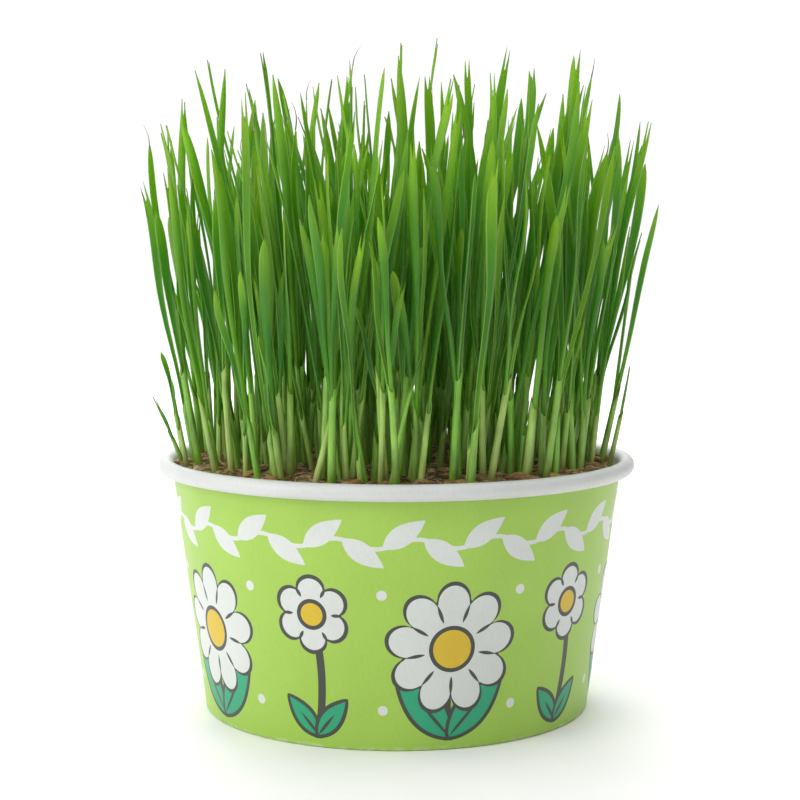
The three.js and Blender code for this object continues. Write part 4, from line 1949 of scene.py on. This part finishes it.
@dataclass
class PaperCup:
    """The cup: a printed wall with a rolled rim, a seam and a crimped hem, and a bottom with its skirt."""

    rim_diameter: float = 115.0
    base_diameter: float = 93.0
    height: float = 61.0
    paper: float = 0.6
    curl_radius: float = 1.9
    curl_end: float = math.radians(-115.0)
    curl_points: int = 16
    hem_height: float = 7.0
    hem_rows: int = 8
    skirt_paper: float = 0.5
    skirt_end: float = 1.0
    gap: float = 0.3
    segments: int = 288
    crimps: int = 72
    crimp_depth: float = 0.1
    foot_radius: float = 0.7
    grid_pitch: float = 3.2
    seam_width: float = 7.0
    seam_step: float = 0.3
    seam_ease: float = 1.5
    end_ease: float = 3.0
    dent: float = 0.12
    dent_size: float = 26.0
    grid_shift: float = 0.25
    snap: float = 1e-5
    edge_reach: float = 1e-4
    inside_rows: int = 12
    foot_steps: int = 5
    skirt_rows: int = 4
    disc_rings: int = 14
    sag: float = 0.25
    weld: float = 0.002
    bare_white: str = "d2d4d2"

    @property
    def curl_height(self) -> float:
        """The height of the middle of the rolled rim."""
        return self.height - self.curl_radius

    @property
    def curl_centre(self) -> float:
        """The radius of the middle of the rolled rim."""
        return self.rim_diameter / 2.0 - self.curl_radius

    @property
    def slope(self) -> float:
        """How much the wall's radius grows with its height."""
        top = self.curl_centre - (self.curl_radius - self.paper)
        return (top - self.base_diameter / 2.0) / self.curl_height

    @property
    def middle_radius(self) -> float:
        """The wall's outer radius half way up, at which the print is laid out."""
        return self.outer(0.5 * self.curl_height)

    def outer(self, height: float) -> float:
        """The wall's outer radius at a height."""
        return self.base_diameter / 2.0 + self.slope * height

    def inner(self, height: float) -> float:
        """The wall's inner radius at a height."""
        return self.outer(height) - self.paper

    def hem_outer(self, height: float) -> float:
        """The outer radius of the folded hem at a height."""
        return self.inner(height) - 2.0 * self.gap - self.skirt_paper

    def hem_inner(self, height: float) -> float:
        """The inner radius of the folded hem at a height."""
        return self.hem_outer(height) - self.paper

    def wall_point(self, s: float, z: float) -> Vector:
        """Rolls a place of the print on to the wall, with the seam's step and the paper's faint dents.

        Args:
            s: The place along the wall, 0 at the front.
            z: The height.

        Returns:
            The point on the wall.
        """
        angle = s / self.middle_radius - 0.5 * math.pi
        ends = min(z - self.foot_radius, self.curl_height - z)
        ease = min(max(ends / self.end_ease, 0.0), 1.0)
        to_seam = math.pi * self.middle_radius - s
        step = self.seam_step * min(max(1.0 - (to_seam - self.seam_width) / self.seam_ease, 0.0), 1.0)
        place = Vector((math.cos(angle), math.sin(angle), z / self.dent_size))
        dent = self.dent * noise.noise(place * (self.middle_radius / self.dent_size))
        radius = self.outer(z) + ease * (step + dent)
        return Vector((radius * math.cos(angle), radius * math.sin(angle), z))

    def printed_sheet(self, draft: MeshDraft) -> None:
        """Adds the outside of the wall, cut along the outlines of the print.

        Args:
            draft: What the sheet is added to. Its materials are in the order of the inks.
        """
        girth = TURN * self.middle_radius
        half = 0.5 * girth
        low, high = self.foot_radius, self.curl_height
        patches = FlowerPrint(girth).patches()
        inks = list(Ink)
        columns = int(girth / self.grid_pitch)
        rows = int((high - low) / self.grid_pitch)
        spots: list[Point] = []
        for i in range(self.segments + 1):
            s = -half + girth * i / self.segments
            spots += [(s, low), (s, high)]
        heights = [low + (high - low) * j / rows for j in range(1, rows)]
        spots += [(side, z) for z in heights for side in (-half, half)]
        for j, z in enumerate(heights):
            shift = self.grid_shift + 0.5 * (j % 2)
            spots += [(-half + girth * (i + shift) / columns, z) for i in range(columns - 1)]
        outlines: list[list[int]] = []
        for patch in patches:
            first = len(spots)
            spots += [tuple(point) for point in patch.outline]
            outlines.append(list(range(first, len(spots))))
        found = delaunay_2d_cdt([Vector(spot) for spot in spots], [], outlines, 0, self.snap)
        places, _, faces, _, _, covered = found
        points = np.array([self.wall_point(place[0], place[1]) for place in places])
        worn = [inks.index(patches[max(over)].ink) if over else 0 for over in covered]
        for index in range(len(inks)):
            own = [face for face, ink in zip(faces, worn) if ink == index]
            draft.add(points, own, index)
        lap, under = (
            sorted(
                (i for i, place in enumerate(places) if abs(place[0] - side) < self.edge_reach),
                key=lambda i: places[i][1],
            )
            for side in (half, -half)
        )
        step = [[lap[i], under[i], under[i + 1], lap[i + 1]] for i in range(len(lap) - 1)]
        draft.add(points, step, inks.index(Ink.CREAM))

    def curl_face(self, radius: float) -> list[Point]:
        """Follows one face of the rolled rim.

        Args:
            radius: The face's own radius.

        Returns:
            Radius and height of points from the wall over the top to its end.
        """
        share = np.linspace(0.0, 1.0, self.curl_points)
        angles = blend(math.pi, self.curl_end, share)
        radii = self.curl_centre + radius * np.cos(angles)
        return list(zip(radii.tolist(), (self.curl_height + radius * np.sin(angles)).tolist()))

    def wall(self, white: bpy.types.Material) -> bpy.types.Object:
        """Makes the wall: printed outside, white at the rim, inside and on the hem.

        Args:
            white: The bare paper's material.

        Returns:
            The piece.
        """
        inks = [CardFinish(f"print_{ink.name.lower()}", ink.value).make() for ink in Ink]
        bare = len(inks)
        draft = MeshDraft()
        self.printed_sheet(draft)
        under_curl = self.curl_face(self.curl_radius - self.paper)
        over_curl = self.curl_face(self.curl_radius)[::-1]
        draft.add_turned([*under_curl, *over_curl], self.segments, bare)
        inside = np.linspace(self.curl_height, self.paper, self.inside_rows)
        down = [(self.inner(z), z) for z in inside]
        hem = [(self.hem_outer(self.paper), self.paper), (self.hem_outer(self.hem_height), self.hem_height)]
        draft.add_turned([*down, *hem], self.segments, bare)
        top = self.hem_height
        edge = [(self.hem_outer(top), top), (self.hem_inner(top), top)]
        draft.add_turned(edge, self.segments, bare)
        self.add_hem_face(draft, bare)
        bow = np.linspace(-0.5 * math.pi, 0.0, self.foot_steps)
        foot = self.foot_radius
        middle = self.outer(foot) - foot
        rounded = [(middle + foot * math.cos(a), foot + foot * math.sin(a)) for a in bow]
        draft.add_turned([(self.hem_inner(0.0), 0.0), *rounded], self.segments, 0)
        return draft.make("printed_wall", [*inks, white], self.weld)

    def add_hem_face(self, draft: MeshDraft, material: int) -> None:
        """Adds the inside of the folded hem, with the marks of the crimping tool.

        Args:
            draft: What the face is added to.
            material: Which of the piece's materials it wears.
        """
        angles = ring(self.segments)
        marks = np.maximum(np.sin(self.crimps * angles), 0.0)
        rows = []
        for height in np.linspace(self.hem_height, 0.0, self.hem_rows):
            ease = min(height, self.hem_height - height, 1.0)
            radius = self.hem_inner(height) + self.crimp_depth * ease * marks
            rows.append(level_ring(radius, height, angles))
        draft.add(np.concatenate(rows), wrap_faces(len(rows), self.segments), material)

    def bottom(self, white: bpy.types.Material) -> bpy.types.Object:
        """Makes the bottom disc and the skirt that hangs down from it.

        Args:
            white: The bare paper's material.

        Returns:
            The piece.
        """
        under = self.hem_height + self.gap
        over = under + self.paper
        rising = np.linspace(self.skirt_end, over, self.skirt_rows)
        falling = np.linspace(under, self.skirt_end, self.skirt_rows)
        skirt_outer = [(self.inner(z) - self.gap, z) for z in rising]
        skirt_inner = [(self.inner(z) - self.gap - self.skirt_paper, z) for z in falling]
        shares = np.linspace(0.0, 1.0, self.disc_rings)
        disc_under = [(skirt_inner[0][0] * s, under - self.sag * (1.0 - s * s)) for s in shares[:-1]]
        disc_over = [(skirt_outer[-1][0] * s, over - self.sag * (1.0 - s * s)) for s in shares[::-1][1:]]
        draft = MeshDraft()
        draft.add_turned([*disc_under, *skirt_inner, *skirt_outer, *disc_over], self.segments // 2)
        return draft.make("cup_base", [white], self.weld)

    def build(self) -> None:
        """Makes the wall and the bottom, in the place of their solids."""
        white = CardFinish("bare_card", self.bare_white).make()
        enter(self.wall(white), "printed_card", "cup_wall")
        enter(self.bottom(white), "white_card", "cup_bottom")


@dataclass
class Lamp:
    """A soft square light: where it is, what it is aimed at, its size and its power."""

    name: str
    place: tuple[float, float, float]
    aim: tuple[float, float, float]
    size: float
    power: float

    def build(self) -> None:
        """Makes the light. Places and size are in metres."""
        data = bpy.data.lights.new(self.name, "AREA")
        data.size = self.size
        data.energy = self.power
        lamp = bpy.data.objects.new(self.name, data)
        lamp.location = self.place
        lamp.rotation_euler = (Vector(self.aim) - Vector(self.place)).to_track_quat("-Z", "Y").to_euler()
        bpy.context.scene.collection.objects.link(lamp)


@dataclass
class Studio:
    """A pale floor, soft light from the left and a camera at the photograph's angle."""

    image_width: float = 800.0
    focal_pixels: float = 1878.36
    sensor: float = 36.0
    distance: float = 455.945
    elevation: float = math.radians(5.357)
    aim_height: float = 73.965
    aim_pixel: float = 396.484
    floor_radius: float = 4.0
    floor_rings: int = 12
    floor_segments: int = 64
    floor_weld: float = 0.01
    sky: float = 1.05
    right: Span = (1.0, 0.16)
    right_turn: Span = (0.24, 0.75)
    left: Span = (0.66, 1.0)
    left_turn: Span = (-0.95, -0.25)
    front: Span = (0.4, 1.0)
    front_turn: Span = (-0.7, 0.3)
    overhead: Span = (0.0, 0.82)
    overhead_turn: Span = (0.35, 0.9)
    lamps: tuple[Lamp, ...] = (
        Lamp("key_light", (-0.85, -0.6, 0.5), (0.0, 0.0, 0.06), 0.7, 4.6),
        Lamp("back_light", (-0.1, 0.85, 0.8), (0.0, 0.0, 0.12), 0.7, 6.0),
    )

    def build_floor(self) -> None:
        """Makes the floor, a wide disc in rings that meet at its middle."""
        draft = MeshDraft()
        radii = np.linspace(self.floor_radius / MM, 0.0, self.floor_rings)
        draft.add_turned([(radius, 0.0) for radius in radii], self.floor_segments)
        floor = draft.make("floor", [FloorFinish().make()], weld=self.floor_weld)

    def build_light(self) -> None:
        """Makes the sky's light, brightest behind and above and weakest on the right, and the lamps."""
        world = bpy.data.worlds.new("studio_sky")
        world.use_nodes = True
        tree = world.node_tree
        background = tree.nodes["Background"]
        background.inputs["Color"].default_value = (1.0, 1.0, 1.0, 1.0)
        split = tree.nodes.new("ShaderNodeSeparateXYZ")
        tree.links.new(tree.nodes.new("ShaderNodeTexCoord").outputs["Generated"], split.inputs[0])
        strength = None
        fades = (
            ("X", self.right_turn, self.right, "MULTIPLY"),
            ("X", self.left_turn, self.left, "MULTIPLY"),
            ("Y", self.front_turn, self.front, "MULTIPLY"),
            ("Z", self.overhead_turn, self.overhead, "ADD"),
        )
        for axis, turn, share, operation in fades:
            fade = tree.nodes.new("ShaderNodeMapRange")
            tree.links.new(split.outputs[axis], fade.inputs["Value"])
            for label, limit in zip(("From Min", "From Max", "To Min", "To Max"), (*turn, *share)):
                fade.inputs[label].default_value = limit
            joined = tree.nodes.new("ShaderNodeMath")
            joined.operation = operation
            joined.inputs[0].default_value = self.sky
            if strength:
                tree.links.new(strength, joined.inputs[0])
            tree.links.new(fade.outputs["Result"], joined.inputs[1])
            strength = joined.outputs[0]
        tree.links.new(strength, background.inputs["Strength"])
        bpy.context.scene.world = world
        for lamp in self.lamps:
            lamp.build()

    def build_camera(self) -> None:
        """Makes the camera and hands it to the scene."""
        data = bpy.data.cameras.new("camera")
        data.sensor_width = self.sensor
        data.lens = self.focal_pixels * self.sensor / self.image_width
        data.shift_x = (0.5 * self.image_width - self.aim_pixel) / self.image_width
        camera = bpy.data.objects.new("camera", data)
        aim = Vector((0.0, 0.0, self.aim_height))
        back = Vector((0.0, -math.cos(self.elevation), math.sin(self.elevation)))
        camera.location = (aim + back * self.distance) * MM
        camera.rotation_euler = (-back).to_track_quat("-Z", "Y").to_euler()
        bpy.context.scene.collection.objects.link(camera)
        bpy.context.scene.camera = camera

    def build(self) -> None:
        """Makes the floor, the light and the camera, and keeps colours as they are."""
        self.build_floor()
        self.build_light()
        self.build_camera()
        bpy.context.scene.view_settings.view_transform = "Standard"


def write_sizes() -> None:
    """Logs how many triangles the rendered meshes have."""
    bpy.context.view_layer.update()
    meshes = [piece.data for piece in bpy.data.objects if piece.type == "MESH" and not piece.hide_render]
    LOG.info("triangles: %d", sum(len(loop.vertices) - 2 for mesh in meshes for loop in mesh.polygons))


def main() -> None:
    """Builds the studio, the cup, the coir and the grass."""
    logging.basicConfig(level=logging.INFO, format="%(name)s: %(message)s")
    Studio().build()
    cup = PaperCup()
    cup.build()
    grass = GrassStand()
    leaves = grass.grow()
    CoirBed().build(cup, leaves)
    grass.build(leaves)
    write_sizes()


if __name__ == "__main__":
    main()
